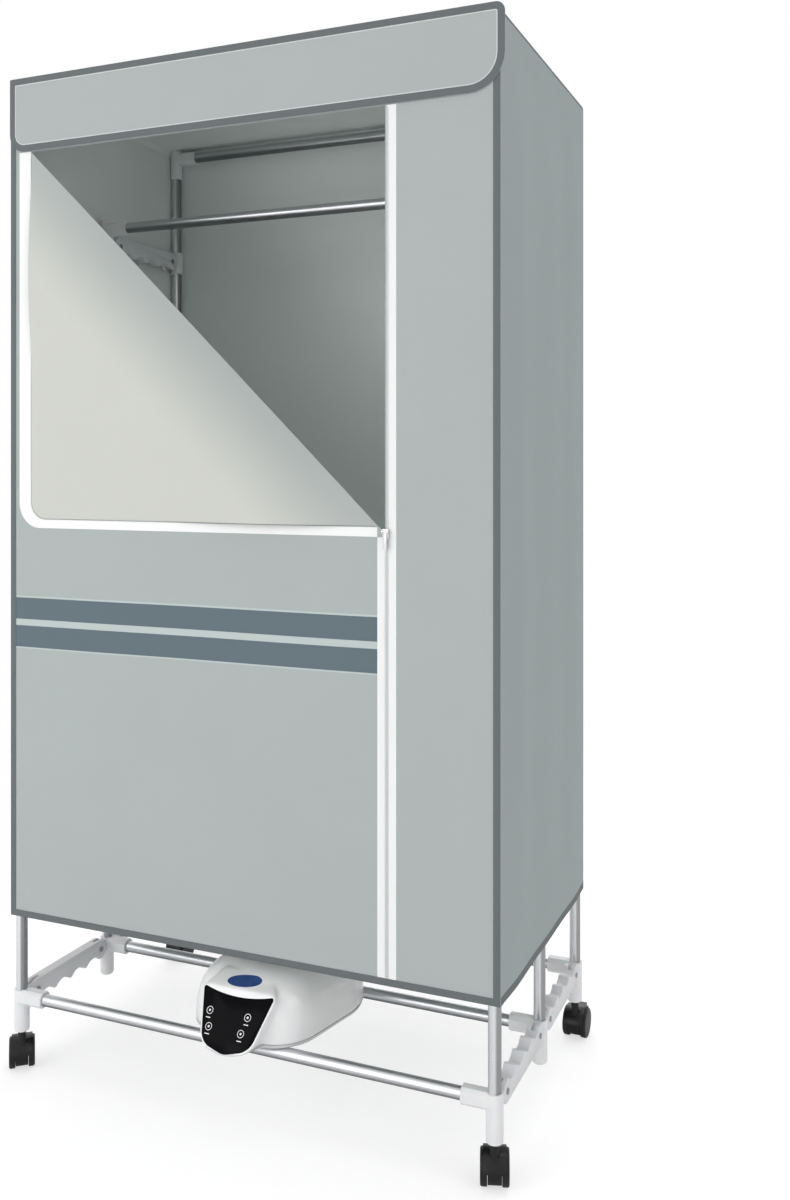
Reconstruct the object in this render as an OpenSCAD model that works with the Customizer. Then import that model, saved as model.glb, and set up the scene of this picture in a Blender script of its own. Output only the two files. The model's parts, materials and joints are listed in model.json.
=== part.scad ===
// Folding electric drying rack: three tube frames, side links, castors,
// a fabric cover with a peeled window flap, and a fan heater on the bars.
// Millimetres, +Z up. The origin is on the floor, midway between the posts,
// in the plane of the middle frame. The front of the rack faces -Y.

/* [Frames] */
// Distance between the left and right post axes
frame_w = 700; // [560:10:800]
// Distance between neighbouring frames when open
bay = 195; // [180:5:230]
// Radius of every tube
tube_r = 8; // [7:0.5:9]
// Wall of every tube
tube_wall = 1; // [0.8:0.1:1.5]
// Height of the bottom bars' axes
bar_z = 106; // [100:1:112]
// Height of the front and rear top bars' axes
top_bar_z = 1382; // [1250:2:1500]
// Distance of the middle frame's top bar below the other two
middle_drop = 157; // [152:1:230]

/* [Connectors] */
// Outer radius of the plastic collars
collar_r = 10.5; // [9.8:0.1:10.8]
// Distance from a post axis to the flat that the cover lies on
collar_flat = 9.1; // [9:0.1:9.5]
// Reach of a bar collar from the post axis
collar_reach = 40; // [34:1:50]
// Height of the tees' lower ends
tee_bottom = 57; // [56:0.5:60]
// Height of a tee above its bar axis
tee_rise = 10; // [8:1:14]
// Rounding of the closed tees' lower ends
tee_round = 6; // [3:0.5:8]
// Slack of a tube in its socket
socket_slack = 0.05; // [0.03:0.01:0.1]
// Depth of a post socket below the bar axis
socket_depth = 14; // [12:1:18]
// Distance from a post axis to a bar's end
bar_inset = 12; // [11:0.5:14]

/* [Links] */
// Distance from a post axis to its link pin
pin_offset = 25; // [25:0.5:28]
// Height of a link plate
link_w = 28; // [24:1:28]
// Thickness of a link plate
link_t = 16; // [14:1:17]
// Thickness of a lug
lug_t = 5; // [4:0.5:6]
// Radius of a lug's round end
lug_r = 8; // [7:0.5:9]
// Radius of the link pins
pin_r = 2.5; // [2:0.25:3]
// Running clearance of a link on its pin
pin_slack = 0.05; // [0.03:0.01:0.08]
// Gap between a lug and its fork
fork_gap = 0.3; // [0.25:0.05:0.5]
// Radius of a pin's head
head_r = 3.6; // [3.3:0.1:5]
// Number of hook notches along a link
notch_count = 4; // [3:1:4]
// Spacing of the hook notches
notch_pitch = 35; // [30:1:36]
// Radius of a hook notch
notch_r = 20; // [17:1:24]
// Depth of a hook notch
notch_depth = 7; // [4:0.5:8]
// Distance of the upper links' pins below the middle frame's top bar
upper_pin_drop = 22; // [21:1:100]

/* [Castors] */
// Radius of a castor wheel
wheel_r = 21; // [19:0.5:22]
// Width of one wheel
wheel_w = 8.5; // [8:0.5:11]
// Half of the gap between the twin wheels
wheel_gap = 9; // [8.5:0.5:12]
// Distance from the swivel axis to the axle
trail = 12; // [9:0.5:14]
// Radius of the axle
axle_r = 2; // [1.5:0.25:3]
// Radius of the swivel stem
stem_r = 4; // [3:0.25:5]
// Radius of the neck above the hood
neck_r = 5.5; // [5.2:0.1:7]
// Turn of the front left castor
turn_left = 40; // [0:1:90]
// Turn of the front right castor
turn_right = 18; // [0:1:90]

/* [Cover] */
// Thickness of the cover's cloth
cloth = 1; // [0.8:0.1:1.2]
// Height of the cover's hem
hem_z = 222; // [215:1:240]
// Gap between the cover and the collars' flats
cover_gap = 0.3; // [0.3:0.05:0.6]
// Width of the dark edge binding
binding_w = 9; // [6:0.5:14]
// Thickness of the binding and the white tapes
tape_t = 0.6; // [0.4:0.1:0.8]
// Rounding of the cover's top corners
cover_round = 11.6; // [8:0.2:14]
// Depth of the bulges in the side and top cloth
bulge = 3; // [0:0.5:6]
// Height of the valance
valance_h = 103; // [70:1:130]
// Rounding of the valance's left lower corner
valance_round_left = 25; // [10:1:45]
// Rounding of the valance's right lower corner
valance_round_right = 45; // [10:1:60]

/* [Window and zip] */
// Distance from the left post axis to the window's left edge
window_left = 25; // [20:1:60]
// Height of the window's lower edge
window_z = 780; // [700:5:900]
// Width of the white band at the window's left
piping_w = 20; // [12:1:22]
// Width of the white band below the window
piping_h = 12; // [8:1:20]
// Rounding of the window's lower left corner
window_round = 25; // [15:1:40]
// Distance from the left post axis to the zip
zip_from_left = 566; // [500:2:600]
// Width of each half of the zip tape
zip_tape_w = 12.5; // [10:0.5:14]
// Width of the row of teeth
teeth_w = 5; // [4:0.5:6]
// Height of the slider
slider_h = 12; // [9:0.5:14]
// Length of the pull tab
pull_l = 22; // [16:1:30]

/* [Heater] */
// Centre of the heater across the rack
heater_x = 15; // [-60:5:60]
// Height of the heater above its underside
heater_h = 85; // [80:1:92]
// Thickness of the base plate
heater_base_t = 4; // [3:0.5:5]
// Wall of the upper shell
heater_wall = 2.5; // [2:0.25:3]
// Half width of the control panel at its top
panel_half = 51; // [44:1:56]
// Height of the control panel along its slope
panel_l = 74; // [66:1:78]
// Thickness of the control panel
panel_t = 2; // [1.5:0.25:2.5]
// Width of the white rim round the control panel
rim_w = 3; // [2:0.5:4]
// Inner radius of the air duct
duct_r = 41; // [38:0.5:43]
// Radius of the impeller
impeller_r = 37; // [30:1:37]
// Number of impeller blades
blades = 7; // [5:1:11]
// Radius of the motor
motor_r = 18; // [14:1:24]
// Radius of the motor's shaft
shaft_r = 1.5; // [1.5:0.25:2]
// Radius of the cord that the gland takes
cord_r = 3.5; // [2.5:0.25:4]

/* [Hidden] */
$fn = 48;

eps = 0.01;
white_plastic = "#e2e4e3";
alloy = "#c9cccd";
cloth_grey = "#aab1b1";

// Frames
post_x = frame_w / 2;
front_y = -bay;
rear_y = bay;
bore_r = tube_r + socket_slack;
tee_top = bar_z + tee_rise;
post_bottom = bar_z - socket_depth;
socket_over = 6;
cap_t = 8.5;
corner_top = top_bar_z + socket_over + cap_t;
middle_top_z = top_bar_z - middle_drop;
upper_pin_z = middle_top_z - upper_pin_drop;
corner_drop = 34;
middle_cap = middle_top_z + socket_over + cap_t - 1;
collar_chamfer = 5;
seat_gap = 0.3;
foot_round = 2;

// Links
link_l = bay - 2 * pin_offset;
link_end = link_w / 2;
lug_bore = pin_r + 0.02;
fork_w = lug_t + 2 * fork_gap;
fork_depth = lug_r + 1.5;
pocket_d = 5;
pocket_w = 16;
head_t = 1.2;
head_gap = 0.15;
upper_collar_h = 36;

// Castors
axle_z = wheel_r;
hood_gap = 0.6;
hood_t = 1.8;
hood_r = wheel_r + hood_gap + hood_t;
hood_half = wheel_gap + wheel_w * 0.6;
web_half = wheel_gap - 0.5;
web_bottom = 7;
hood_top = axle_z + hood_r;
stem_top = post_bottom - 4;
neck_gap = 0.5;
turn_slack = 0.05;
rear_turn = 0;
pedal_z = axle_z + 11;
pedal_y = hood_r + 3.5;
pedal_l = 14;
pedal_t = 2.4;
pedal_half = 6;
pedal_pin_r = 1.2;
pedal_hub_r = 2.4;
ear_t = 2.4;

// Cover
cover_in = collar_flat + cover_gap;
cover_out = cover_in + cloth;
cover_half = post_x + cover_out;
cover_top = corner_top + cover_gap + cloth;
front_in = front_y - cover_in;
front_out = front_y - cover_out;
front_face = front_out - tape_t;
valance_in = front_face - seat_gap;
valance_z = cover_top - valance_h;
bulges = 3;
bulge_steps = 12;

// Window and zip, in the front panel's own x and z
win_l = -post_x + window_left;
zip_x = -post_x + zip_from_left;
win_r = zip_x - teeth_w / 2;
win_top = valance_z - 1;
win_corner = zip_x - zip_tape_w + 2.5;
flap_gap = 1.5;
tape_bottom = hem_z + binding_w + 0.3;
tape_top = win_top;
piping_z = window_z - piping_h;
zip_join = piping_z;
teeth_t = 0.8;
slider_w = 8;
slider_t = 3;
slider_gap = 0.3;
slider_top = window_z - 2;
slider_back = front_face - teeth_t - slider_gap;
slider_front = slider_back - slider_t;
pull_w = 5;
pull_t = 1.2;
pull_hub_r = 1.3;
pull_pin_r = 0.8;
pull_ear = 1.2;
pull_y = slider_front - pull_hub_r - 0.4;
pull_z = slider_top - 3;

// Heater
rest_z = bar_z + tube_r + seat_gap;
shell_z = rest_z + heater_base_t;
heater_top = rest_z + heater_h;
heater_y = 95;
heater_c = [heater_x, -heater_y];
// The outline: circles as [x, y, radius] from its centre, in shares of its reach
heater_reach = 100;
body_plan = [[-0.69, -0.75, 0.2], [0.23, -0.55, 0.595], [0.12, 0.25, 0.88], [-0.1, 0.3, 0.8]];
panel_r = 24;
panel_taper = 36;
panel_sag = 4;
panel_corner = 3;
tail_y = -3;
tail_slope = 0.62;
// Share of the outline at each share of the shell's height
levels = [[0, 1], [0.39, 0.97], [0.74, 0.88], [0.91, 0.76], [1, 0.55]];
nose_shift = 7;
nose_out = 49;
nose_rise = 1.5;
nose_x = heater_x - nose_shift;
nose_y = front_y - nose_out;
panel_angle = 56.5;
tongue_back = 60;
tongue_l = 20;
tongue_inset = 6;
tongue_drop = 22;
duct_wall = 2;
duct_rise = 32.7;
duct_bottom = rest_z + duct_rise;
fan_shift = 5;
fan_y = fan_shift - heater_y;
fan_x = heater_x;
element_rise = 54.7;
element_z = rest_z + element_rise;
inlet_w = 4;
inlet_l = 36;
inlet_pitch = 9;
inlet_y = 62;
element_t = 14;
element_r = duct_r - seat_gap;
motor_top = duct_bottom - 3;
impeller_z = motor_top + 3;
impeller_t = 16;
impeller_hub = 9;
slat_w = 3;
slat_pitch = 9;
slat_t = 4;
board = [56, 34, 1.6];
board_at = [nose_x - 28, front_y + 14];
standoff_h = 6;
gland_rise = 34;
gland_z = rest_z + gland_rise;
gland_y = 15;
gland_r = 6;
gland_flange = 8.5;
gland_flange_t = 2.4;
gland_l = 12;
screw_r = 1.5;
screw_head_r = 3;
screw_head_t = 2;
screw_l = 12;
boss_r = 4.5;
// Screws, in shares of the outline's reach from its centre
screws_at = [for (p = [[-0.57, -0.65], [-0.73, 0.43], [0.61, -0.43], [0.81, 0.43]]) heater_c + heater_reach * p];

// A plate in the front panel's plane: its outer face is at y, its inner at y + t
module plate(y, t) {
    translate([0, y + t, 0])
        rotate([90, 0, 0])
            linear_extrude(t)
                children();
}

// A side profile of the YZ plane, t thick and centred on x = 0
module side(t) {
    rotate([90, 0, 90])
        translate([0, 0, -t / 2])
            linear_extrude(t)
                children();
}

module tube(l) {
    difference() {
        cylinder(h = l, r = tube_r);
        translate([0, 0, -1]) cylinder(h = l + 2, r = tube_r - tube_wall);
    }
}

module post(x, y, top) {
    color(alloy) translate([x, y, post_bottom]) tube(top + socket_over - post_bottom - seat_gap);
}

module bar(y, z) {
    l = frame_w - 2 * (bar_inset + seat_gap);
    color(alloy) translate([-l / 2, y, z]) rotate([0, 90, 0]) tube(l);
}

// Collar round a post, from z0 to z1, with a rounded lower edge
module collar_body(z0, z1, round_r) {
    translate([0, 0, z0]) rotate_extrude() {
        square([collar_r - round_r, z1 - z0]);
        translate([0, round_r]) square([collar_r, z1 - z0 - round_r]);
        translate([collar_r - round_r, round_r]) intersection() {
            circle(round_r);
            translate([0, -round_r]) square([round_r, 2 * round_r]);
        }
    }
}

// Box-like collar along +X that holds a bar's end
module bar_collar(z) {
    a = collar_r;
    b = collar_r - collar_chamfer;
    translate([0, 0, z]) rotate([90, 0, 90]) linear_extrude(collar_reach)
        polygon([[-b, -a], [b, -a], [a, -b], [a, b], [b, a], [-b, a], [-a, b], [-a, -b]]);
}

// Lug that points along +Y or -Y (way) at height z
module lug(z, way) {
    translate([0, 0, z]) side(lug_t) {
        translate([way * pin_offset, 0]) circle(lug_r);
        translate([way > 0 ? 0 : -pin_offset, -lug_r]) square([pin_offset, 2 * lug_r]);
    }
}

module lug_hole(z, way) {
    translate([-lug_t, way * pin_offset, z]) rotate([0, 90, 0]) cylinder(h = 2 * lug_t, r = lug_bore);
}

module bar_socket(z) {
    translate([bar_inset, 0, z]) rotate([0, 90, 0]) cylinder(h = collar_reach, r = bore_r);
}

// Bottom tee at the origin's axis, with its bar collar along +X
module tee(ways, round_r, castor) {
    difference() {
        union() {
            collar_body(tee_bottom, tee_top, round_r);
            bar_collar(bar_z);
            for (w = ways) lug(bar_z, w);
        }
        translate([0, 0, post_bottom]) cylinder(h = tee_top, r = bore_r);
        bar_socket(bar_z);
        for (w = ways) lug_hole(bar_z, w);
        if (castor) translate([0, 0, tee_bottom - 1])
            cylinder(h = stem_top + 2 - tee_bottom, r = stem_r + turn_slack);
    }
}

// Top connector: post from below, bar along +X, lugs at lug_z
module top_joint(z, bottom, top, ways) {
    difference() {
        union() {
            translate([0, 0, bottom]) cylinder(h = top - bottom, r = collar_r);
            bar_collar(z);
            for (w = ways) lug(upper_pin_z, w);
        }
        translate([0, 0, bottom - 1]) cylinder(h = z + socket_over - bottom + 1, r = bore_r);
        bar_socket(z);
        for (w = ways) lug_hole(upper_pin_z, w);
    }
}

module lug_collar(way) {
    difference() {
        union() {
            translate([0, 0, upper_pin_z - upper_collar_h / 2])
                cylinder(h = upper_collar_h, r = collar_r);
            lug(upper_pin_z, way);
        }
        translate([0, 0, upper_pin_z - upper_collar_h]) cylinder(h = 2 * upper_collar_h, r = bore_r);
        lug_hole(upper_pin_z, way);
    }
}

// Both ends of a frame: the child stands at the left post, mirrored to the right
module both_ends(y) {
    for (m = [0, 1]) mirror([m, 0, 0]) translate([-post_x, y, 0]) children();
}

// The room inside the cover's cloth, which the upper connectors keep to
module inside_cover(front, back) {
    y0 = front ? front_y - collar_flat : -2 * bay;
    y1 = back ? rear_y + collar_flat : 2 * bay;
    x = post_x + collar_flat;
    r = cover_round - cloth - cover_gap;
    intersection() {
        children();
        translate([0, y1, 0]) rotate([90, 0, 0]) linear_extrude(y1 - y0) {
            translate([-x, 0]) square([2 * x, corner_top - r]);
            translate([-x + r, 0]) square([2 * (x - r), corner_top]);
            for (s = [-1, 1]) translate([s * (x - r), corner_top - r]) circle(r);
        }
    }
}

module link_pin(x, y, z) {
    l = link_t + 2 * head_gap;
    translate([x, y, z]) rotate([0, 90, 0]) {
        translate([0, 0, -l / 2]) cylinder(h = l, r = pin_r);
        for (s = [-1, 1]) translate([0, 0, s * (l + head_t) / 2])
            cylinder(h = head_t, r = head_r, center = true);
    }
}

module pins(y, ways) {
    color("#8d9093") for (x = [-post_x, post_x], z = [bar_z, upper_pin_z], w = ways)
        link_pin(x, y + w * pin_offset, z);
}

// Notched link from its pin at the origin along +Y; notches = -1 puts them
// on the lower edge and 1 on the upper one
module link(notches) {
    first = (link_l - (notch_count - 1) * notch_pitch) / 2;
    difference() {
        side(link_t) difference() {
            union() {
                circle(link_end);
                translate([link_l, 0]) circle(link_end);
                translate([0, -link_end]) square([link_l, link_w]);
            }
            for (i = [0:notch_count - 1])
                translate([first + i * notch_pitch, notches * (link_end + notch_r - notch_depth)])
                    circle(notch_r);
        }
        for (y = [0, link_l]) translate([-link_t, y, 0]) rotate([0, 90, 0])
            cylinder(h = 2 * link_t, r = pin_r + pin_slack);
        for (p = [[-link_w, link_w + fork_depth], [link_l - fork_depth, link_w + fork_depth]])
            translate([-fork_w / 2, p[0], -link_w]) cube([fork_w, p[1], 2 * link_w]);
        for (i = [1:notch_count - 1])
            translate([-link_t / 2 - 1, first + (i - 0.5) * notch_pitch - pocket_w / 2, -link_w / 5])
                cube([pocket_d + 1, pocket_w, link_w * 0.4]);
    }
}

module links(y, z, xs) {
    color("#d3d6d7") for (x = xs)
        translate([x, y + pin_offset, z]) link(x < 0 ? -1 : 1);
}

// Castor hood at the origin's axis; its axle trails along +Y
module castor(braked) {
    color("#17181a") difference() {
        union() {
            translate([-web_half, trail, axle_z]) rotate([0, 90, 0])
                cylinder(h = 2 * web_half, r = wheel_r - 1);
            difference() {
                translate([-hood_half, trail, axle_z]) rotate([0, 90, 0])
                    cylinder(h = 2 * hood_half, r = hood_r);
                for (s = [-1, 1]) translate([s * (web_half + hood_half), trail, axle_z])
                    rotate([0, 90, 0]) cylinder(h = 2 * hood_half, r = wheel_r + hood_gap, center = true);
                translate([-hood_half - 1, trail - 2 * hood_r, -hood_r])
                    cube([2 * hood_half + 2, 4 * hood_r, hood_r + axle_z + 3]);
            }
            translate([0, 0, axle_z]) cylinder(h = tee_bottom - neck_gap - axle_z, r = neck_r);
            translate([0, 0, axle_z]) cylinder(h = stem_top - axle_z, r = stem_r);
            if (braked) for (s = [-1, 1])
                translate([s * (pedal_half + ear_t / 2 + seat_gap), trail + pedal_y, pedal_z]) {
                    cube([ear_t, 3.4, 7], center = true);
                    translate([-ear_t / 2, -9, -3.5]) cube([ear_t, 9, 7]);
                }
        }
        translate([-hood_half - 1, trail, axle_z]) rotate([0, 90, 0])
            cylinder(h = 2 * hood_half + 2, r = axle_r + turn_slack);
        translate([-hood_half - 1, trail - 2 * hood_r, -hood_r])
            cube([2 * hood_half + 2, 4 * hood_r, hood_r + web_bottom]);
        if (braked) translate([-hood_half, trail + pedal_y, pedal_z]) rotate([0, 90, 0])
            cylinder(h = 2 * hood_half, r = pedal_pin_r + turn_slack);
    }
}

module wheels() {
    crown = 2.5;
    color("#1b1c1e") translate([0, trail, axle_z]) rotate([0, 90, 0]) {
        for (s = [0, 1]) mirror([0, 0, s]) translate([0, 0, wheel_gap]) rotate_extrude() {
            square([wheel_r - crown, wheel_w]);
            square([wheel_r, wheel_w - crown]);
            translate([wheel_r - crown, wheel_w - crown]) circle(crown);
        }
        translate([0, 0, -wheel_gap - 1]) cylinder(h = 2 * wheel_gap + 2, r = axle_r);
    }
}

module brake() {
    half = pedal_half + seat_gap + ear_t;
    color("#222325") translate([0, trail + pedal_y, pedal_z]) {
        rotate([0, 90, 0]) cylinder(h = 2 * pedal_half, r = pedal_hub_r, center = true);
        rotate([0, 90, 0]) cylinder(h = 2 * half, r = pedal_pin_r, center = true);
        translate([-pedal_half, 0, -pedal_hub_r]) cube([2 * pedal_half, pedal_l, pedal_t]);
    }
}

module at_castor(x, y, turn) {
    translate([x, y, 0]) rotate([0, 0, turn]) children();
}

module cover_outline(inset) {
    r = cover_round - inset / 2;
    x = cover_half - inset;
    translate([-x, hem_z + inset]) square([2 * x, cover_top - inset - r - hem_z - inset]);
    for (s = [-1, 1]) translate([s * (x - r), cover_top - inset - r]) circle(r);
    translate([-x + r, cover_top - 2 * inset - r]) square([2 * (x - r), r + inset]);
}

module window_hole() {
    polygon([[win_l, win_top], [win_r, win_top], [win_r, window_z], [win_corner, window_z]]);
}

// The peeled flap fills the window's lower left half, one gap inside its edges
module flap_outline() {
    r = window_round;
    x0 = win_l + flap_gap;
    z0 = window_z + flap_gap;
    slope = (win_top - window_z) / (win_corner - win_l);
    reach = flap_gap * sqrt(1 + slope * slope);
    x1 = win_corner - (flap_gap + reach) / slope;
    z1 = win_top - reach - slope * flap_gap;
    corner = [for (a = [180:10:270]) [x0 + r + r * cos(a), z0 + r + r * sin(a)]];
    polygon(concat([[x0, z1]], corner, [[x1, z0]]));
}

module piping_outline() {
    r = window_round + piping_w / 2;
    x0 = win_l - piping_w;
    corner = [for (a = [180:10:270]) [x0 + r + r * cos(a), piping_z + r + r * sin(a)]];
    inner = [for (a = [270:-10:180])
        [win_l + window_round + window_round * cos(a), window_z + window_round + window_round * sin(a)]];
    x1 = zip_x - zip_tape_w;
    polygon(concat([[x0, win_top]], corner, [[x1, piping_z], [x1, window_z]], inner, [[win_l, win_top]]));
}

// Bulges of slack cloth: how far it stands out at share u of the depth
function slack(u) = bulge * abs(sin(180 * bulges * u));

function shares() = [for (i = [0:bulges * bulge_steps]) i / (bulges * bulge_steps)];

module side_cloth(x) {
    y0 = front_in;
    y1 = rear_y + collar_flat;
    inner = [for (u = shares()) [x + slack(u), y0 + (y1 - y0) * u]];
    outer = [for (u = shares()) [x + cloth + slack(1 - u), y1 + (y0 - y1) * u]];
    color("#98a1a1") translate([0, 0, hem_z])
        linear_extrude(cover_top - cover_round - hem_z) polygon(concat(inner, outer));
}

module top_cloth() {
    y0 = front_in;
    y1 = rear_y + collar_flat;
    z = cover_top - cloth;
    x = cover_half - cover_round;
    under = [for (u = shares()) [y0 + (y1 - y0) * u, z + slack(u)]];
    over = [for (u = shares()) [y1 + (y0 - y1) * u, z + cloth + slack(1 - u)]];
    color("#98a1a1") {
        rotate([90, 0, 90]) translate([0, 0, -x]) linear_extrude(2 * x) polygon(concat(under, over));
        for (m = [0, 1]) mirror([m, 0, 0]) translate([x, y1, cover_top - cover_round]) rotate([90, 0, 0])
            linear_extrude(y1 - y0) intersection() {
                difference() {
                    circle(cover_round);
                    circle(cover_round - cloth);
                }
                square(cover_round);
            }
    }
}

module valance_outline() {
    rl = valance_round_left;
    rr = valance_round_right;
    x = cover_half;
    top = cover_top - cover_round;
    left = [for (a = [180:10:270]) [-x + rl + rl * cos(a), valance_z + rl + rl * sin(a)]];
    right = [for (a = [270:10:360]) [x - rr + rr * cos(a), valance_z + rr + rr * sin(a)]];
    up_right = [for (a = [0:15:90]) [x - cover_round + cover_round * cos(a), top + cover_round * sin(a)]];
    up_left = [for (a = [90:15:180]) [-x + cover_round + cover_round * cos(a), top + cover_round * sin(a)]];
    polygon(concat(left, right, up_right, up_left));
}

// The tight outline round a list of circles, each given as [x, y, radius]
function reach_of(c, a) = c[0] * cos(a) + c[1] * sin(a) + c[2];
function outmost(list, a) = [for (c = list) if (reach_of(c, a) >= max([for (k = list) reach_of(k, a)])) c][0];
function wrap(list, n) = [for (i = [0:n - 1]) let (a = 360 * i / n, c = outmost(list, a))
    [c[0] + c[2] * cos(a), c[1] + c[2] * sin(a)]];

module body_level(z, share) {
    translate([0, 0, z]) linear_extrude(eps)
        polygon([for (p = wrap(heater_reach * body_plan, 56)) heater_c + share * p]);
}

module body_block(shrink, drop) {
    hull() {
        body_level(rest_z, 0.985 * shrink);
        for (l = levels)
            body_level(shell_z + l[0] * (heater_top - drop - shell_z - eps), l[1] * shrink);
    }
}

// Outline of the control panel: round bottom corners, wide top
function panel_circles(grow) = [
    [0, panel_r, panel_r + grow],
    [panel_half - panel_taper, panel_r + panel_sag, panel_r + grow],
    [panel_taper - panel_half, panel_r + panel_sag, panel_r + grow],
    [panel_half - panel_corner, panel_l - panel_corner, panel_corner + grow],
    [panel_corner - panel_half, panel_l - panel_corner, panel_corner + grow]
];

module panel_outline(grow) {
    polygon(wrap(panel_circles(grow), 60));
}

// Puts the panel's plane in place, sunk by d below its face
module on_panel(d) {
    translate([nose_x, nose_y, rest_z + nose_rise]) rotate([panel_angle, 0, 0]) translate([0, 0, -d]) children();
}

module tongue(inset, d) {
    hull() {
        on_panel(d) linear_extrude(1) panel_outline(rim_w - inset);
        translate([nose_x - panel_half + tongue_inset + inset, nose_y + tongue_back, rest_z + inset])
            cube([2 * (panel_half - tongue_inset - inset), tongue_l, heater_h - tongue_drop - 2 * inset]);
    }
}

module heater_outer() {
    difference() {
        union() {
            body_block(1, 0);
            tongue(0, 1);
        }
        translate([-frame_w / 2, -2 * frame_w, -frame_w + rest_z]) cube([frame_w, 4 * frame_w, frame_w]);
        translate([0, tail_y, rest_z]) rotate([atan(tail_slope), 0, 0])
            translate([-frame_w / 2, 0, -frame_w]) cube([frame_w, frame_w, frame_w]);
    }
}

module slab(z0, z1) {
    translate([-frame_w / 2, -2 * bay, z0]) cube([frame_w, 4 * bay, z1 - z0]);
}

module front_post_left() post(-post_x, front_y, top_bar_z);
module front_post_right() post(post_x, front_y, top_bar_z);
module front_bottom_bar() bar(front_y, bar_z);
module front_top_bar() bar(front_y, top_bar_z);

module front_tees() {
    color(white_plastic) both_ends(front_y) tee([1], foot_round, true);
}

module front_corners() {
    color(white_plastic) inside_cover(true, false)
        both_ends(front_y) top_joint(top_bar_z, top_bar_z - corner_drop, corner_top, []);
}

module front_collars() {
    color(white_plastic) inside_cover(true, false) both_ends(front_y) lug_collar(1);
}

module front_link_pins() pins(front_y, [1]);

module front_panel() {
    color(cloth_grey) plate(front_out, cloth) difference() {
        cover_outline(0);
        window_hole();
    }
}

module front_binding() {
    color("#6d7475") plate(front_face, tape_t) difference() {
        cover_outline(0);
        cover_outline(binding_w);
    }
}

module window_piping() {
    color("white") plate(front_face, tape_t) piping_outline();
}

module zip_tape() {
    color("#f2f3f2") {
        plate(front_face, tape_t) {
            translate([zip_x, tape_bottom]) square([zip_tape_w, tape_top - tape_bottom]);
            translate([zip_x - zip_tape_w, tape_bottom]) square([zip_tape_w, zip_join - tape_bottom - 0.3]);
        }
        plate(front_face - teeth_t, teeth_t + eps) {
            translate([zip_x - teeth_w / 2, tape_bottom])
                square([teeth_w, zip_join - tape_bottom - 0.3]);
            translate([zip_x, tape_bottom]) square([teeth_w / 2, tape_top - tape_bottom]);
        }
    }
}

module top_panel() top_cloth();
module left_side_panel() mirror([1, 0, 0]) side_cloth(post_x + cover_in);
module right_side_panel() side_cloth(post_x + cover_in);

module window_flap() {
    color("#dfe3e0") plate(front_out - seat_gap - cloth, cloth) flap_outline();
}

module valance() {
    color(cloth_grey) plate(valance_in - cloth, cloth) valance_outline();
}

module zip_slider() {
    color("#c8cacb") difference() {
        union() {
            translate([zip_x - slider_w / 2, slider_front, slider_top - slider_h])
                cube([slider_w, slider_t, slider_h]);
            for (s = [-1, 1])
                translate([zip_x + s * (pull_w / 2 + 0.3 + pull_ear / 2) - pull_ear / 2,
                           pull_y - pull_hub_r, pull_z - 2])
                    cube([pull_ear, slider_front - pull_y + pull_hub_r + 1, 4]);
        }
        translate([zip_x - slider_w, pull_y, pull_z]) rotate([0, 90, 0])
            cylinder(h = 2 * slider_w, r = pull_pin_r + turn_slack);
    }
}

module zip_pull() {
    half = pull_w / 2 + 0.3 + pull_ear;
    color("#b9bcbd") {
        translate([zip_x, pull_y, pull_z]) rotate([0, 90, 0]) {
            cylinder(h = pull_w, r = pull_hub_r, center = true);
            cylinder(h = 2 * half, r = pull_pin_r, center = true);
        }
        translate([zip_x - pull_w / 2, pull_y - pull_t / 2, pull_z - pull_l])
            cube([pull_w, pull_t, pull_l]);
    }
}

module middle_post_left() post(-post_x, 0, middle_top_z);
module middle_post_right() post(post_x, 0, middle_top_z);
module middle_bottom_bar() bar(0, bar_z);
module middle_top_bar() bar(0, middle_top_z);

module middle_tees() {
    color(white_plastic) both_ends(0) tee([-1, 1], tee_round, false);
}

module middle_top_tees() {
    color(white_plastic) inside_cover(false, false)
        both_ends(0) top_joint(middle_top_z, upper_pin_z - upper_collar_h / 2, middle_cap, [-1, 1]);
}

module middle_link_pins() pins(0, [-1, 1]);

module rear_posts() {
    post(-post_x, rear_y, top_bar_z);
    post(post_x, rear_y, top_bar_z);
}

module rear_bottom_bar() bar(rear_y, bar_z);
module rear_top_bar() bar(rear_y, top_bar_z);

module rear_tees() {
    color(white_plastic) both_ends(rear_y) tee([-1], foot_round, true);
}

module rear_corners() {
    color(white_plastic) inside_cover(false, true)
        both_ends(rear_y) top_joint(top_bar_z, top_bar_z - corner_drop, corner_top, []);
}

module rear_collars() {
    color(white_plastic) inside_cover(false, true) both_ends(rear_y) lug_collar(-1);
}

module rear_link_pins() pins(rear_y, [-1]);

module back_panel() {
    color(cloth_grey) plate(rear_y + cover_in, cloth) cover_outline(0);
}

module front_link_left() links(front_y, bar_z, [-post_x]);
module front_link_right() links(front_y, bar_z, [post_x]);
module rear_link_left() links(0, bar_z, [-post_x]);
module rear_link_right() links(0, bar_z, [post_x]);
module front_upper_links() links(front_y, upper_pin_z, [-post_x, post_x]);
module rear_upper_links() links(0, upper_pin_z, [-post_x, post_x]);

module castor_front_left() at_castor(-post_x, front_y, turn_left) castor(false);
module castor_front_right() at_castor(post_x, front_y, turn_right) castor(false);
module castor_rear_left() at_castor(-post_x, rear_y, rear_turn) castor(true);
module castor_rear_right() at_castor(post_x, rear_y, rear_turn) castor(true);
module wheels_front_left() at_castor(-post_x, front_y, turn_left) wheels();
module wheels_front_right() at_castor(post_x, front_y, turn_right) wheels();
module wheels_rear_left() at_castor(-post_x, rear_y, rear_turn) wheels();
module wheels_rear_right() at_castor(post_x, rear_y, rear_turn) wheels();
module brake_left() at_castor(-post_x, rear_y, rear_turn) brake();
module brake_right() at_castor(post_x, rear_y, rear_turn) brake();

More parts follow.
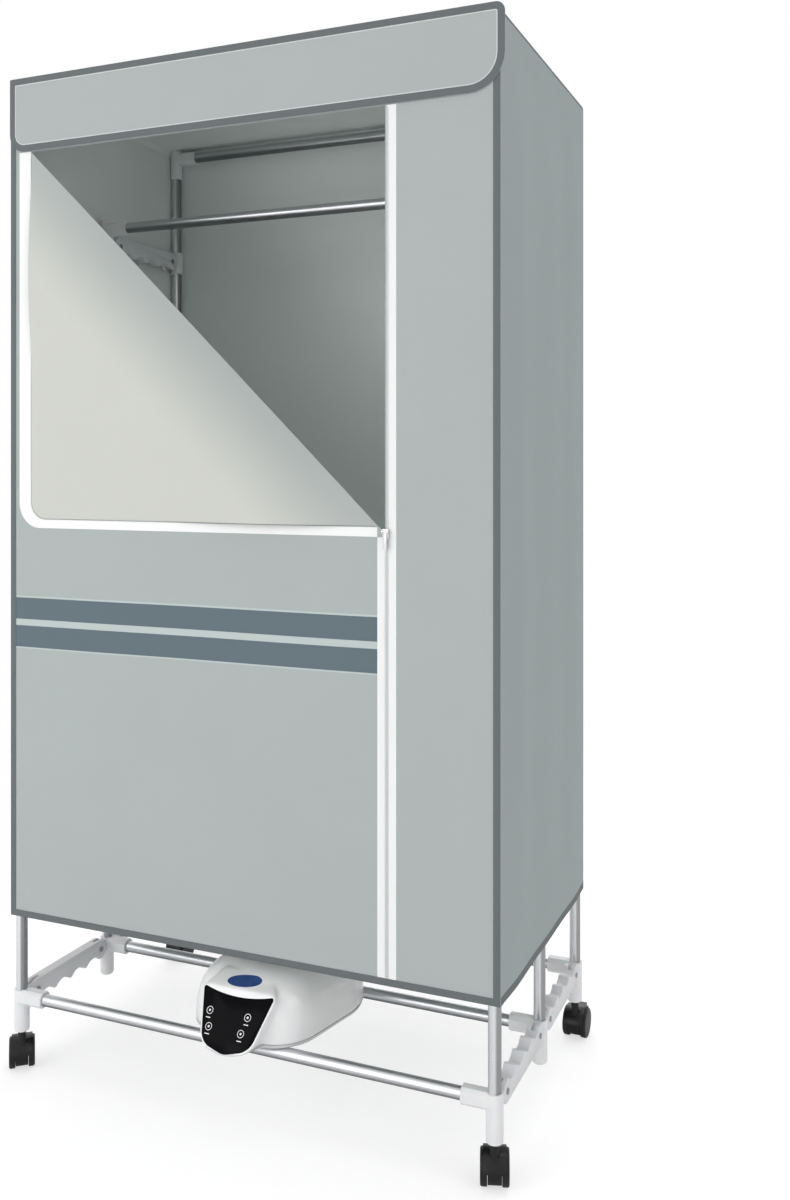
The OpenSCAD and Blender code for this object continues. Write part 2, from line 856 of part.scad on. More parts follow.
module heater_base() {
    color("#e8e9e8") difference() {
        union() {
            intersection() {
                heater_outer();
                slab(rest_z, shell_z);
            }
            for (x = [8, board[0] - 8])
                translate([board_at[0] + x, board_at[1] + board[1] / 2, shell_z - 1])
                    cylinder(h = standoff_h + 1, r = 3);
        }
        on_panel(panel_t + 0.3) linear_extrude(20) panel_outline(0.1);
        for (i = [-3:3]) translate([fan_x + i * inlet_pitch - inlet_w / 2, fan_y - inlet_y, rest_z - 1])
            cube([inlet_w, inlet_l, heater_base_t + 2]);
        for (p = screws_at) translate([p[0], p[1], rest_z - 1]) {
            cylinder(h = heater_base_t + 2, r = screw_r + 0.1);
            cylinder(h = screw_head_t + 1.1, r = screw_head_r + 0.1);
        }
    }
}

module heater_shell() {
    color("#f0f1f0") difference() {
        union() {
            difference() {
                intersection() {
                    heater_outer();
                    slab(shell_z, heater_top + 1);
                }
                difference() {
                    body_block(1 - 1.25 * heater_wall / heater_reach, heater_wall);
                    translate([0, tail_y, rest_z + 2 * heater_wall]) rotate([atan(tail_slope), 0, 0])
                        translate([-frame_w / 2, -frame_w, -frame_w]) cube([frame_w, 2 * frame_w, frame_w]);
                    for (p = screws_at) translate([p[0], p[1], rest_z])
                        cylinder(h = heater_h, r = boss_r);
                }
                intersection() {
                    tongue(heater_wall + rim_w, panel_t + heater_wall + 1);
                    slab(rest_z, heater_top);
                }
            }
        }
        on_panel(panel_t + 0.1) linear_extrude(20) panel_outline(0.1);
        translate([fan_x, fan_y, shell_z]) cylinder(h = heater_h, r = duct_r + duct_wall + 0.1);
        translate([fan_x, gland_y - 20, gland_z]) rotate([-90, 0, 0]) cylinder(h = 40, r = gland_r + 0.1);
        for (p = screws_at) translate([p[0], p[1], shell_z - 1])
            cylinder(h = screw_l + 1, r = screw_r + 0.05);
    }
}

module control_panel() {
    color("#0c0d0f") on_panel(panel_t) linear_extrude(panel_t) panel_outline(0);
}

module circuit_board() {
    color("#2f6b3c") translate([board_at[0], board_at[1], shell_z + standoff_h + seat_gap]) cube(board);
}

module outlet_grille() {
    color("#cfd2d2") translate([fan_x, fan_y, 0]) {
        difference() {
            translate([0, 0, duct_bottom]) cylinder(h = heater_top - duct_bottom, r = duct_r + duct_wall);
            translate([0, 0, duct_bottom - 1]) cylinder(h = heater_h, r = duct_r);
        }
        intersection() {
            translate([0, 0, heater_top - slat_t]) cylinder(h = slat_t, r = duct_r + duct_wall / 2);
            union() {
                for (i = [-4:4]) translate([i * slat_pitch - slat_w / 2, -duct_r - 1, heater_top - slat_t])
                    cube([slat_w, 2 * duct_r + 2, slat_t]);
                translate([-duct_r - 1, -slat_w / 2, heater_top - slat_t])
                    cube([2 * duct_r + 2, slat_w, slat_t]);
            }
        }
    }
}

module heating_element() {
    color("#8a8d8f") translate([fan_x, fan_y, element_z]) {
        difference() {
            cylinder(h = element_t, r = element_r);
            translate([0, 0, -1]) cylinder(h = element_t + 2, r = element_r - 3);
        }
        intersection() {
            cylinder(h = element_t, r = element_r - 1);
            union() for (i = [-4:4]) translate([i * 8.5 - 1.5, -element_r, 0])
                cube([3, 2 * element_r, element_t]);
        }
    }
}

module fan_motor() {
    color("#5b5e61") translate([fan_x, fan_y, 0]) {
        translate([0, 0, shell_z + seat_gap]) cylinder(h = motor_top - shell_z - seat_gap, r = motor_r);
        translate([0, 0, shell_z + seat_gap]) cylinder(h = 4, r = motor_r + 5);
        translate([0, 0, motor_top - 1]) cylinder(h = impeller_t + 3, r = shaft_r);
    }
}

module fan_impeller() {
    color("#3a3c3f") translate([fan_x, fan_y, impeller_z]) difference() {
        union() {
            cylinder(h = impeller_t - 2, r = impeller_hub);
            for (i = [0:blades - 1]) rotate([0, 0, i * 360 / blades]) translate([impeller_hub - 2, -1, 1])
                rotate([24, 0, 0]) cube([impeller_r - impeller_hub + 1, 1.6, impeller_t - 5]);
        }
        translate([0, 0, -1]) cylinder(h = impeller_t, r = shaft_r + turn_slack);
    }
}

module cord_gland() {
    color("#2a2b2d") translate([fan_x, gland_y, gland_z]) rotate([-90, 0, 0]) difference() {
        union() {
            translate([0, 0, -gland_l]) cylinder(h = gland_l + gland_flange_t, r = gland_r);
            cylinder(h = gland_flange_t, r = gland_flange);
        }
        translate([0, 0, -gland_l - 1]) cylinder(h = 3 * gland_l, r = cord_r);
    }
}

module heater_screws() {
    color("#9a9c9e") for (p = screws_at) translate([p[0], p[1], rest_z]) {
        cylinder(h = screw_head_t, r = screw_head_r);
        cylinder(h = screw_l + heater_base_t - 1, r = screw_r);
    }
}

front_post_left();
front_post_right();
front_bottom_bar();
front_top_bar();
front_tees();
front_corners();
front_collars();
front_link_pins();
front_panel();
front_binding();
window_piping();
zip_tape();
top_panel();
left_side_panel();
right_side_panel();
window_flap();
valance();
zip_slider();
zip_pull();
middle_post_left();
middle_post_right();
middle_bottom_bar();
middle_top_bar();
middle_tees();
middle_top_tees();
middle_link_pins();
rear_posts();
rear_bottom_bar();
rear_top_bar();
rear_tees();
rear_corners();
rear_collars();
rear_link_pins();
back_panel();
front_link_left();
front_link_right();
rear_link_left();
rear_link_right();
front_upper_links();
rear_upper_links();
castor_front_left();
castor_front_right();
castor_rear_left();
castor_rear_right();
wheels_front_left();
wheels_front_right();
wheels_rear_left();
wheels_rear_right();
brake_left();
brake_right();
heater_base();
heater_shell();
control_panel();
circuit_board();
outlet_grille();
heating_element();
fan_motor();
fan_impeller();
cord_gland();
heater_screws();
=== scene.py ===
import json
import math

import bpy
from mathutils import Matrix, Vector, noise

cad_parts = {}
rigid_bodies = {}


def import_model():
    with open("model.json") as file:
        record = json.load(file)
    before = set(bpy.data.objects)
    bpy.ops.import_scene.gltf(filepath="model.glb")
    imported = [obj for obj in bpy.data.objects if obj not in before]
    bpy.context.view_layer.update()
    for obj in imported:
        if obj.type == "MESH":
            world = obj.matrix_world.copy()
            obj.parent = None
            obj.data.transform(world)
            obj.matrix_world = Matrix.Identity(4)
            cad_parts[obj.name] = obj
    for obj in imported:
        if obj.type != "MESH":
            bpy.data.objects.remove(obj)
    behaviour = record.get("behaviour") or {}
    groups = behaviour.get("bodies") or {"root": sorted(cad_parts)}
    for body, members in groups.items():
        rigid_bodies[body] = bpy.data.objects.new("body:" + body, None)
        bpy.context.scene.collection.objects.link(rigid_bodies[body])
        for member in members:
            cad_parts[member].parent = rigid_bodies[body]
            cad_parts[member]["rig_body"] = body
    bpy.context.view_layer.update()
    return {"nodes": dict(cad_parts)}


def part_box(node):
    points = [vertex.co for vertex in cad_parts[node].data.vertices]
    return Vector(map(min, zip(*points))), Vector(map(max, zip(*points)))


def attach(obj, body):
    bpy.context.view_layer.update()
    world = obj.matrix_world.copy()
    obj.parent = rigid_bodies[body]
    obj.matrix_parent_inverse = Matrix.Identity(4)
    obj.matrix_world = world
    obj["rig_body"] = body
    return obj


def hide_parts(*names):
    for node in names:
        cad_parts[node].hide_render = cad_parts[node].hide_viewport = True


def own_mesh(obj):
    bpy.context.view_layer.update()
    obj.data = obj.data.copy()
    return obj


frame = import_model()
nodes = frame["nodes"]


# Camera and studio. A level camera stands to the right of the rack and looks a
# little to its left, so that the uprights stay upright. Five soft lamps stand
# round a pale floor under a white sky.

CAMERA_PLACE = (0.7662, -1.4926, 0.856)
CAMERA_TURN = math.radians(22.74)
WHITE = (1, 1, 1, 1)


def deselect():
    if bpy.context.object and bpy.context.object.mode != "OBJECT":
        bpy.ops.object.mode_set(mode="OBJECT")
    bpy.ops.object.select_all(action="DESELECT")


deselect()
bpy.ops.object.camera_add(location=CAMERA_PLACE, rotation=(math.radians(90), 0, CAMERA_TURN))
camera = bpy.context.object
camera.data.sensor_width = 36
camera.data.lens = 34.515
camera.data.shift_y = -0.1126
camera.data.clip_end = 60
bpy.context.scene.camera = camera
bpy.context.scene.view_settings.view_transform = "Standard"


# The floor is pale paper. To the camera it is light near the rack, where it
# keeps the shadow, and goes over to plain white further out.

FLOOR_NEAR = 0.6
FLOOR_FAR = 1.9


def add_node(tree, kind, operation=None, **values):
    """A shader node with its operation and its own sockets' values."""
    new = tree.nodes.new("ShaderNode" + kind)
    if operation:
        new.operation = operation
    for socket, value in values.items():
        new.inputs[socket.replace("_", " ")].default_value = value
    return new


def link(tree, *pairs):
    for start, end in pairs:
        tree.links.new(start, end)


def math_node(tree, operation, *values):
    """The result of a Math node, whose values are numbers or other nodes' outputs."""
    new = add_node(tree, "Math", operation)
    for slot, value in zip(new.inputs, values):
        if isinstance(value, (int, float)):
            slot.default_value = value
        else:
            tree.links.new(value, slot)
    return new.outputs[0]


def sees_backdrop(tree, rays, glossy):
    """1 for rays that reach the backdrop straight or through glass, glossy's share for the rest."""
    direct = math_node(tree, "MAXIMUM", rays.outputs["Is Camera Ray"],
                       rays.outputs["Is Transmission Ray"])
    return math_node(tree, "MAXIMUM", direct, glossy)


bpy.ops.mesh.primitive_plane_add(size=30, location=(0, 0, 0))
floor = bpy.context.object
floor.name = "studio_floor"
paper = bpy.data.materials.new("floor_paper")
paper.use_nodes = True
sheet = paper.node_tree
matt = sheet.nodes["Principled BSDF"]
matt.inputs["Base Color"].default_value = (0.93, 0.93, 0.93, 1)
matt.inputs["Roughness"].default_value = 0.85
shaded = add_node(sheet, "BsdfDiffuse", Color=(0.5, 0.5, 0.5, 1))
glow = add_node(sheet, "Emission", Strength=0.62)
near = add_node(sheet, "AddShader")
white = add_node(sheet, "Emission")
place = add_node(sheet, "TexCoord")
reach = add_node(sheet, "VectorMath", "LENGTH")
far = add_node(sheet, "MapRange", From_Min=FLOOR_NEAR, From_Max=FLOOR_FAR)
fade = add_node(sheet, "MixShader")
rays = add_node(sheet, "LightPath")
far_gloss = math_node(sheet, "MULTIPLY", rays.outputs["Is Glossy Ray"], far.outputs[0])
shown = add_node(sheet, "MixShader")
link(sheet, (shaded.outputs[0], near.inputs[0]), (glow.outputs[0], near.inputs[1]),
     (place.outputs["Object"], reach.inputs[0]), (reach.outputs["Value"], far.inputs["Value"]),
     (far.outputs[0], fade.inputs["Fac"]), (near.outputs[0], fade.inputs[1]),
     (white.outputs[0], fade.inputs[2]),
     (sees_backdrop(sheet, rays, far_gloss), shown.inputs["Fac"]),
     (matt.outputs[0], shown.inputs[1]), (fade.outputs[0], shown.inputs[2]),
     (shown.outputs[0], sheet.nodes["Material Output"].inputs["Surface"]))
floor.data.materials.append(paper)

# The sky is white on all sides, but gloss sees a dark flag on one of them,
# which gives the tubes and mouldings their edges.

FLAG_WAY = (0.883, 0.469, 0)
world = bpy.data.worlds.new("studio")
bpy.context.scene.world = world
world.use_nodes = True
sky = world.node_tree
light_sky = sky.nodes["Background"]
light_sky.inputs["Color"].default_value = WHITE
light_sky.inputs["Strength"].default_value = 0.60
seen_sky = add_node(sky, "Background", Color=WHITE)
rays = add_node(sky, "LightPath")
glossy = rays.outputs["Is Glossy Ray"]
mix = add_node(sky, "MixShader")
way = add_node(sky, "TexCoord")
toward = add_node(sky, "VectorMath", "DOT_PRODUCT")
toward.inputs[1].default_value = FLAG_WAY
flag = add_node(sky, "MapRange", From_Min=0.70, From_Max=0.90, To_Max=0.88)
held_off = math_node(sky, "MULTIPLY", flag.outputs[0], glossy)
link(sky, (way.outputs["Generated"], toward.inputs[0]),
     (toward.outputs["Value"], flag.inputs["Value"]),
     (math_node(sky, "SUBTRACT", 1.0, held_off), seen_sky.inputs["Strength"]),
     (sees_backdrop(sky, rays, glossy), mix.inputs["Fac"]),
     (light_sky.outputs[0], mix.inputs[1]), (seen_sky.outputs[0], mix.inputs[2]),
     (mix.outputs[0], sky.nodes["World Output"].inputs["Surface"]))

for name, place, size, power, aim in (
    ("lamp_front", (-1.9, -3.3, 2.3), 2.4, 39, (0, 0, 0.8)),
    ("lamp_low", (-0.6, -2.9, 0.35), 1.4, 13, (0, 0, 0.15)),
    ("lamp_right", (3.2, -1.2, 2.0), 2.0, 17, (0, 0, 0.8)),
    ("lamp_top", (0.2, 0.3, 3.8), 2.2, 30, (0, 0, 0.9)),
    ("lamp_back", (-1.0, 3.4, 2.4), 2.4, 34, (0, 0, 0.8)),
):
    bpy.ops.object.light_add(type="AREA", location=place)
    lamp = bpy.context.object
    lamp.name = name
    lamp.data.size = size
    lamp.data.energy = power
    lamp.rotation_euler = (Vector(aim) - Vector(place)).to_track_quat("-Z", "Y").to_euler()


# Tubes. Posts and bars are drawn aluminium tube with a clear anodised skin:
# bright, a little blurred, with fine lines along each tube.

COLOUR = "NodeSocketColor"
NUMBER = "NodeSocketFloat"
VECTOR = "NodeSocketVector"


def group_of(name, inputs):
    """A node group that puts out colour, roughness and normal, and its input and output nodes."""
    made = bpy.data.node_groups.new(name, "ShaderNodeTree")
    for socket, kind, value in inputs:
        new = made.interface.new_socket(name=socket, in_out="INPUT", socket_type=kind)
        new.default_value = value
    for socket, kind in (("Color", COLOUR), ("Roughness", NUMBER), ("Normal", VECTOR)):
        made.interface.new_socket(name=socket, in_out="OUTPUT", socket_type=kind)
    return made, made.nodes.new("NodeGroupInput"), made.nodes.new("NodeGroupOutput")


def swing(tree, level, share):
    """A level that lies round 0.5, as a share above or below 0."""
    return math_node(tree, "MULTIPLY", math_node(tree, "SUBTRACT", level, 0.5), share)


def dimmed(tree, colour, level):
    """A colour times a level."""
    shade = add_node(tree, "VectorMath", "SCALE")
    link(tree, (colour, shade.inputs[0]), (level, shade.inputs["Scale"]))
    return shade.outputs[0]


def bumped(tree, height, distance, strength, under=None):
    """The normal of a relief, laid over a broader one where under is given."""
    bump = add_node(tree, "Bump", Distance=distance)
    link(tree, (strength, bump.inputs["Strength"]), (height, bump.inputs["Height"]))
    if under is not None:
        link(tree, (under, bump.inputs["Normal"]))
    return bump.outputs[0]


def grain_group():
    """Fine grain in roughness and relief, and a broad, faint mottle in the colour."""
    made, source, result = group_of("Surface grain", [
        ("Color", COLOUR, (0.8, 0.8, 0.8, 1)), ("Stretch", VECTOR, (1, 1, 1)),
        ("Scale", NUMBER, 400.0), ("Depth", NUMBER, 0.1), ("Roughness", NUMBER, 0.4),
        ("Mottle", NUMBER, 0.04),
    ])
    place = add_node(made, "TexCoord").outputs["Object"]
    stretch = add_node(made, "VectorMath", "MULTIPLY")
    fine = add_node(made, "TexNoise", Detail=4)
    broad = add_node(made, "TexNoise", Scale=14, Detail=3)
    link(made, (place, stretch.inputs[0]), (source.outputs["Stretch"], stretch.inputs[1]),
         (stretch.outputs[0], fine.inputs["Vector"]), (place, broad.inputs["Vector"]),
         (source.outputs["Scale"], fine.inputs["Scale"]))
    mottle = swing(made, broad.outputs[0], source.outputs["Mottle"])
    level = math_node(made, "ADD", 1.0, math_node(made, "MULTIPLY", mottle, 2.0))
    rough = math_node(made, "ADD", source.outputs["Roughness"], swing(made, fine.outputs[0], 0.16))
    normal = bumped(made, fine.outputs[0], 0.0004, source.outputs["Depth"])
    link(made, (dimmed(made, source.outputs["Color"], level), result.inputs["Color"]),
         (rough, result.inputs["Roughness"]), (normal, result.inputs["Normal"]))
    return made


grain = grain_group()


def surface(name, group, colour, values, **sockets):
    """A material: a group gives its colour, roughness and normal, and its sockets the rest."""
    made = bpy.data.materials.new(name)
    made.use_nodes = True
    tree = made.node_tree
    shader = tree.nodes["Principled BSDF"]
    effect = tree.nodes.new("ShaderNodeGroup")
    effect.node_tree = group
    effect.inputs["Color"].default_value = (*colour, 1)
    for socket, value in values.items():
        effect.inputs[socket].default_value = value
    for start, end in (("Color", "Base Color"), ("Roughness", "Roughness"), ("Normal", "Normal")):
        tree.links.new(effect.outputs[start], shader.inputs[end])
    for socket, value in sockets.items():
        shader.inputs[socket.replace("_", " ")].default_value = value
    return made


def effect_of(tree):
    """The group that a material's nodes hold."""
    return next(n for n in tree.nodes if n.type == "GROUP")


def paint(piece, *materials):
    piece.data.materials.clear()
    for material in materials:
        piece.data.materials.append(material)


def painted_side_shade(metal, way, start, end, least):
    """Paints shade into the colour of a tube's flank that faces way: the colour is darker there,
    standing in for shade.
    """
    tree = metal.node_tree
    facing = add_node(tree, "VectorMath", "DOT_PRODUCT")
    facing.inputs[1].default_value = way
    level = add_node(tree, "MapRange", From_Min=start, From_Max=end, To_Min=1.0, To_Max=least)
    level.interpolation_type = "SMOOTHSTEP"
    link(tree, (add_node(tree, "NewGeometry").outputs["Normal"], facing.inputs[0]),
         (facing.outputs["Value"], level.inputs["Value"]),
         (dimmed(tree, effect_of(tree).outputs["Color"], level.outputs[0]),
          tree.nodes["Principled BSDF"].inputs["Base Color"]))


post_metal = surface("post_metal", grain, (0.76, 0.77, 0.79),
                     {"Stretch": (1, 1, 0.01), "Scale": 700.0, "Depth": 0.25, "Roughness": 0.26},
                     Metallic=1.0)
bar_metal = surface("bar_metal", grain, (0.58, 0.59, 0.61),
                    {"Stretch": (0.01, 1, 1), "Scale": 700.0, "Depth": 0.25, "Roughness": 0.36},
                    Metallic=1.0)
# Painted shade: the posts' flanks towards the right and the bars' undersides are darkened in their
# colour, standing in for shade.
painted_side_shade(post_metal, (0.985, -0.17, 0), 0.42, 0.78, 0.42)
painted_side_shade(bar_metal, (0, -0.30, -0.954), 0.32, 0.80, 0.42)
for node in ("front_post_left", "front_post_right", "middle_post_left", "middle_post_right",
             "rear_posts"):
    paint(nodes[node], post_metal)
for node in ("front_bottom_bar", "front_top_bar", "middle_bottom_bar", "middle_top_bar",
             "rear_bottom_bar", "rear_top_bar"):
    paint(nodes[node], bar_metal)


# Connectors and links. They are moulded in a milky white nylon that lets a
# little light through. Mould edges are rounded, so each piece is taken from
# its solid, welded, and given a small bevel.

WELD = 0.00002
FLAT_TURN = math.radians(0.6)
EDGE_TURN = math.radians(35)
MILKY = {"Subsurface_Weight": 0.25, "Subsurface_Scale": 0.004}


def moulded(node, name, width, material):
    """A copy of a CAD node with its edges rounded by width, in place of it."""
    deselect()
    piece = bpy.data.objects.new(name, nodes[node].data.copy())
    bpy.context.scene.collection.objects.link(piece)
    bpy.context.view_layer.objects.active = piece
    piece.select_set(True)
    bpy.ops.object.mode_set(mode="EDIT")
    bpy.ops.mesh.select_all(action="SELECT")
    bpy.ops.mesh.remove_doubles(threshold=WELD)
    bpy.ops.mesh.dissolve_limited(angle_limit=FLAT_TURN)
    bpy.ops.mesh.normals_make_consistent(inside=False)
    bpy.ops.object.mode_set(mode="OBJECT")
    bevel = piece.modifiers.new("edges", "BEVEL")
    bevel.width = width
    bevel.segments = 2
    bevel.limit_method = "ANGLE"
    bevel.angle_limit = EDGE_TURN
    bpy.ops.object.modifier_apply(modifier=bevel.name)
    bpy.ops.object.shade_smooth_by_angle(angle=EDGE_TURN)
    paint(piece, material)
    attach(piece, nodes[node]["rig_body"])
    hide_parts(node)
    return piece


nylon = surface("nylon", grain, (0.80, 0.81, 0.82),
                {"Scale": 900.0, "Depth": 0.18, "Roughness": 0.38}, **MILKY)
link_nylon = surface("link_nylon", grain, (0.72, 0.73, 0.75),
                     {"Scale": 900.0, "Depth": 0.18, "Roughness": 0.42}, **MILKY)
pin_steel = surface("pin_steel", grain, (0.32, 0.33, 0.34),
                    {"Scale": 1200.0, "Depth": 0.2, "Roughness": 0.35}, Metallic=1.0)
for node in ("front_tees", "middle_tees", "rear_tees", "front_corners", "rear_corners",
             "front_collars", "rear_collars", "middle_top_tees"):
    moulded(node, node + "_moulding", 0.0007, nylon)
for node in ("front_link_left", "front_link_right", "rear_link_left", "rear_link_right",
             "front_upper_links", "rear_upper_links"):
    moulded(node, node + "_moulding", 0.0008, link_nylon)
for node in ("front_link_pins", "middle_link_pins", "rear_link_pins"):
    paint(nodes[node], pin_steel)


# Castors. A black moulded hood stands on a steel stem and holds two wheels on
# one axle; the rear pair has a pedal that locks them.

black_nylon = surface("black_nylon", grain, (0.007, 0.007, 0.008),
                      {"Scale": 800.0, "Depth": 0.15, "Roughness": 0.33}, Specular_IOR_Level=0.3)
wheel_black = surface("wheel_black", grain, (0.010, 0.010, 0.011),
                      {"Scale": 900.0, "Depth": 0.15, "Roughness": 0.42}, Specular_IOR_Level=0.3)
for place in ("front_left", "front_right", "rear_left", "rear_right"):
    moulded("castor_" + place, "hood_" + place, 0.0006, black_nylon)
    moulded("wheels_" + place, "twin_wheels_" + place, 0.0005, wheel_black)
for side in ("left", "right"):
    moulded("brake_" + side, "pedal_" + side, 0.0004, black_nylon)


# Cover. Plain-woven polyester with a matte coating hangs from the top corners:
# a front with a cut window, two sides, a top and a back, sewn in dark tape.


def weave_group():
    """Threads in relief, broad shallow dents, and a faint mottle in the colour."""
    made, source, result = group_of("Plain weave", [
        ("Color", COLOUR, (0.5, 0.5, 0.5, 1)), ("Threads", NUMBER, 700.0), ("Depth", NUMBER, 0.25),
        ("Dents", NUMBER, 0.2), ("Roughness", NUMBER, 0.75), ("Mottle", NUMBER, 0.05),
    ])
    place = add_node(made, "TexCoord").outputs["Object"]
    axes = add_node(made, "SeparateXYZ")
    broad = add_node(made, "TexNoise", Scale=5.5, Detail=3, Distortion=0.6)
    link(made, (place, axes.inputs[0]), (place, broad.inputs["Vector"]))
    pace = math_node(made, "MULTIPLY", source.outputs["Threads"], 2 * math.pi)
    waves = [math_node(made, "SINE", math_node(made, "MULTIPLY", axis, pace))
             for axis in axes.outputs]
    crossings = [math_node(made, "MULTIPLY", waves[a], waves[b])
                 for a, b in ((0, 1), (1, 2), (0, 2))]
    cloth = math_node(made, "ADD", math_node(made, "ADD", crossings[0], crossings[1]), crossings[2])
    height = math_node(made, "ADD", math_node(made, "MULTIPLY", cloth, 0.25), 0.5)
    mottle = swing(made, broad.outputs[0], source.outputs["Mottle"])
    level = math_node(made, "ADD", math_node(made, "ADD", 1.0, mottle), swing(made, height, 0.05))
    rough = math_node(made, "ADD", source.outputs["Roughness"],
                      math_node(made, "MULTIPLY", mottle, 0.5))
    dents = bumped(made, broad.outputs[0], 0.02, source.outputs["Dents"])
    threads = bumped(made, height, 0.0003, source.outputs["Depth"], dents)
    link(made, (dimmed(made, source.outputs["Color"], level), result.inputs["Color"]),
         (rough, result.inputs["Roughness"]), (threads, result.inputs["Normal"]))
    return made


weave = weave_group()


def woven(name, colour, values=None):
    """A matte woven cloth, tape or webbing."""
    return surface(name, weave, colour, values or {}, Sheen_Weight=0.05, Specular_IOR_Level=0.25)


GREY = (0.414, 0.451, 0.451)
LINING = (0.595, 0.61, 0.563)
LINING_WEAVE = {"Threads": 1000.0, "Dents": 0.12, "Mottle": 0.03}
cloth_grey = woven("cloth_grey", GREY)
# Painted shade: a darker copy of the grey cover cloth, used on the sides, top and back, standing in
# for the shade on them.
painted_shade_grey = woven("painted_shade_grey", (0.33, 0.375, 0.378))
lining = woven("lining_cloth", (0.80, 0.85, 0.83), LINING_WEAVE)
front_low, front_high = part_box("front_panel")
flap_low, flap_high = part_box("window_flap")
valance_low, valance_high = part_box("valance")
window_left = -0.325
window_right = 0.2135
window_bottom = 0.780
window_top = valance_low.z - 0.001
fold_foot = 0.206
ROUND_STEPS = 8
LEAST_ROUND = 0.0004


def outline(low, high, rounds, inset=0.0):
    """A rectangle's points, its corners rounded, from the lower left one anticlockwise."""
    points = []
    corners = ((low[0], low[1], 1, 1), (high[0], low[1], -1, 1),
               (high[0], high[1], -1, -1), (low[0], high[1], 1, -1))
    for i, (x, z, inwards, upwards) in enumerate(corners):
        r = max(rounds[i] - inset, LEAST_ROUND) if rounds[i] else 0
        centre = (x + inwards * (inset + r), z + upwards * (inset + r))
        for k in range(ROUND_STEPS + 1 if r else 1):
            angle = math.radians(180 + 90 * i + (90 * k / ROUND_STEPS if r else 45))
            points.append((centre[0] + r * math.cos(angle), centre[1] + r * math.sin(angle)))
    return points


def face_front(piece):
    """Turns a flat face in the XZ plane to the front."""
    bpy.ops.object.mode_set(mode="EDIT")
    bpy.ops.mesh.select_all(action="SELECT")
    bpy.ops.mesh.normals_make_consistent(inside=False)
    bpy.ops.object.mode_set(mode="OBJECT")
    if piece.data.polygons[0].normal.y > 0:
        piece.data.flip_normals()


def outline_plate(name, low, high, y, rounds):
    """A flat face in the XZ plane that faces the front, with rounded corners."""
    points = outline(low, high, rounds)
    deselect()
    bpy.ops.mesh.primitive_circle_add(vertices=len(points), fill_type="NGON")
    piece = bpy.context.object
    piece.name = name
    for v, (x, z) in zip(piece.data.vertices, points):
        v.co = (x, y, z)
    face_front(piece)
    return piece


def cut(piece, place, normal, inner=False, outer=False):
    """Cuts a piece by a plane and clears what lies behind it (inner) or before it (outer)."""
    bpy.ops.object.mode_set(mode="EDIT")
    bpy.ops.mesh.select_all(action="SELECT")
    bpy.ops.mesh.bisect(plane_co=place, plane_no=normal, clear_inner=inner, clear_outer=outer,
                        threshold=0.00001)
    bpy.ops.object.mode_set(mode="OBJECT")


def cut_grid(piece, axis, start, end, step):
    count = round((end - start) / step)
    normal = [0, 0, 0]
    normal[axis] = 1
    for i in range(1, count):
        place = [0, 0, 0]
        place[axis] = start + (end - start) * i / count
        cut(piece, place, normal)


def flat_cloth(name, low, high, y, rounds, step):
    """An outline plate cut in a grid, so that it can be given folds."""
    piece = outline_plate(name, low, high, y, rounds)
    cut_grid(piece, 0, low[0], high[0], step)
    cut_grid(piece, 2, low[1], high[1], step)
    return piece


def delete_faces(piece, inside):
    for face in piece.data.polygons:
        face.select = inside(face.center)
    bpy.ops.object.mode_set(mode="EDIT")
    bpy.ops.mesh.select_mode(type="FACE")
    bpy.ops.mesh.delete(type="FACE")
    bpy.ops.object.mode_set(mode="OBJECT")


def ease(t):
    t = max(0.0, min(1.0, t))
    return t * t * (3 - 2 * t)


def edge_share(x, low, high, reach):
    """0 at and outside low and high, and 1 from reach inside them."""
    return ease(min(x - low, high - x) / reach)


def slacken(piece, depth, pace, hold):
    """Gives a sheet soft folds along Y; hold is each point's share, 0 where it is sewn or held."""
    for v in piece.data.vertices:
        wave = noise.noise(Vector((v.co.x * pace[0], v.co.y * pace[1], v.co.z * pace[2])))
        v.co.y += depth * wave * hold(v.co)


def thicken(piece, thickness, offset, inner=None):
    """Gives a sheet its thickness, behind its face (-1) or in front (1); inner lines its back."""
    deselect()
    bpy.context.view_layer.objects.active = piece
    piece.select_set(True)
    if inner and len(piece.data.materials) == 1:
        piece.data.materials.append(inner)
    solid = piece.modifiers.new("cloth", "SOLIDIFY")
    solid.thickness = thickness
    solid.offset = offset
    solid.material_offset = 1 if inner else 0
    bpy.ops.object.modifier_apply(modifier=solid.name)
    bpy.ops.object.shade_smooth_by_angle(angle=math.radians(40))


def settle(piece, body, slot, *replaced):
    """Ties a piece to its body and hides the nodes that it replaces; slot is not used."""
    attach(piece, body)
    if replaced:
        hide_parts(*replaced)
    return piece


CLOTH = 0.001
CORNER = 0.0116
BINDING = 0.009
GRID = 0.0125
SEWN = 0.012
ZIP_SEWN = 0.018
PIPING_SEWN = 0.03
SIDE_REACH = 0.05
HEM_REACH = 0.06
ZIP_REACH = 0.04
zip_x = 0.216
front = flat_cloth("cover_front", (front_low.x, front_low.z), (front_high.x, front_high.z),
                   front_low.y, (0, 0, CORNER, CORNER), GRID)
window_corner = Vector((window_left, 0, window_top))
fold_run = Vector((fold_foot - window_left, 0, window_bottom - window_top))
fold_length = fold_run.length
fold_side = Vector((-fold_run.z, 0, fold_run.x)).normalized()
for place, normal in (((window_left, 0, 0), (1, 0, 0)), ((window_right, 0, 0), (1, 0, 0)),
                      ((0, 0, window_bottom), (0, 0, 1)), ((0, 0, window_top), (0, 0, 1)),
                      (window_corner, fold_side)):
    cut(front, place, normal)


def past_fold(p):
    """How far a point lies above and to the right of the fold line."""
    return (p - Vector((window_left, p.y, window_top))).dot(fold_side)


def front_hold(p):
    edges = edge_share(p.x, front_low.x + SEWN, front_high.x - SEWN, SIDE_REACH)
    head = window_top if p.x > zip_x else window_bottom
    hem = edge_share(p.z, front_low.z + SEWN, head - PIPING_SEWN, HEM_REACH)
    zip_line = ease((abs(p.x - zip_x) - ZIP_SEWN) / ZIP_REACH)
    return edges * hem * zip_line


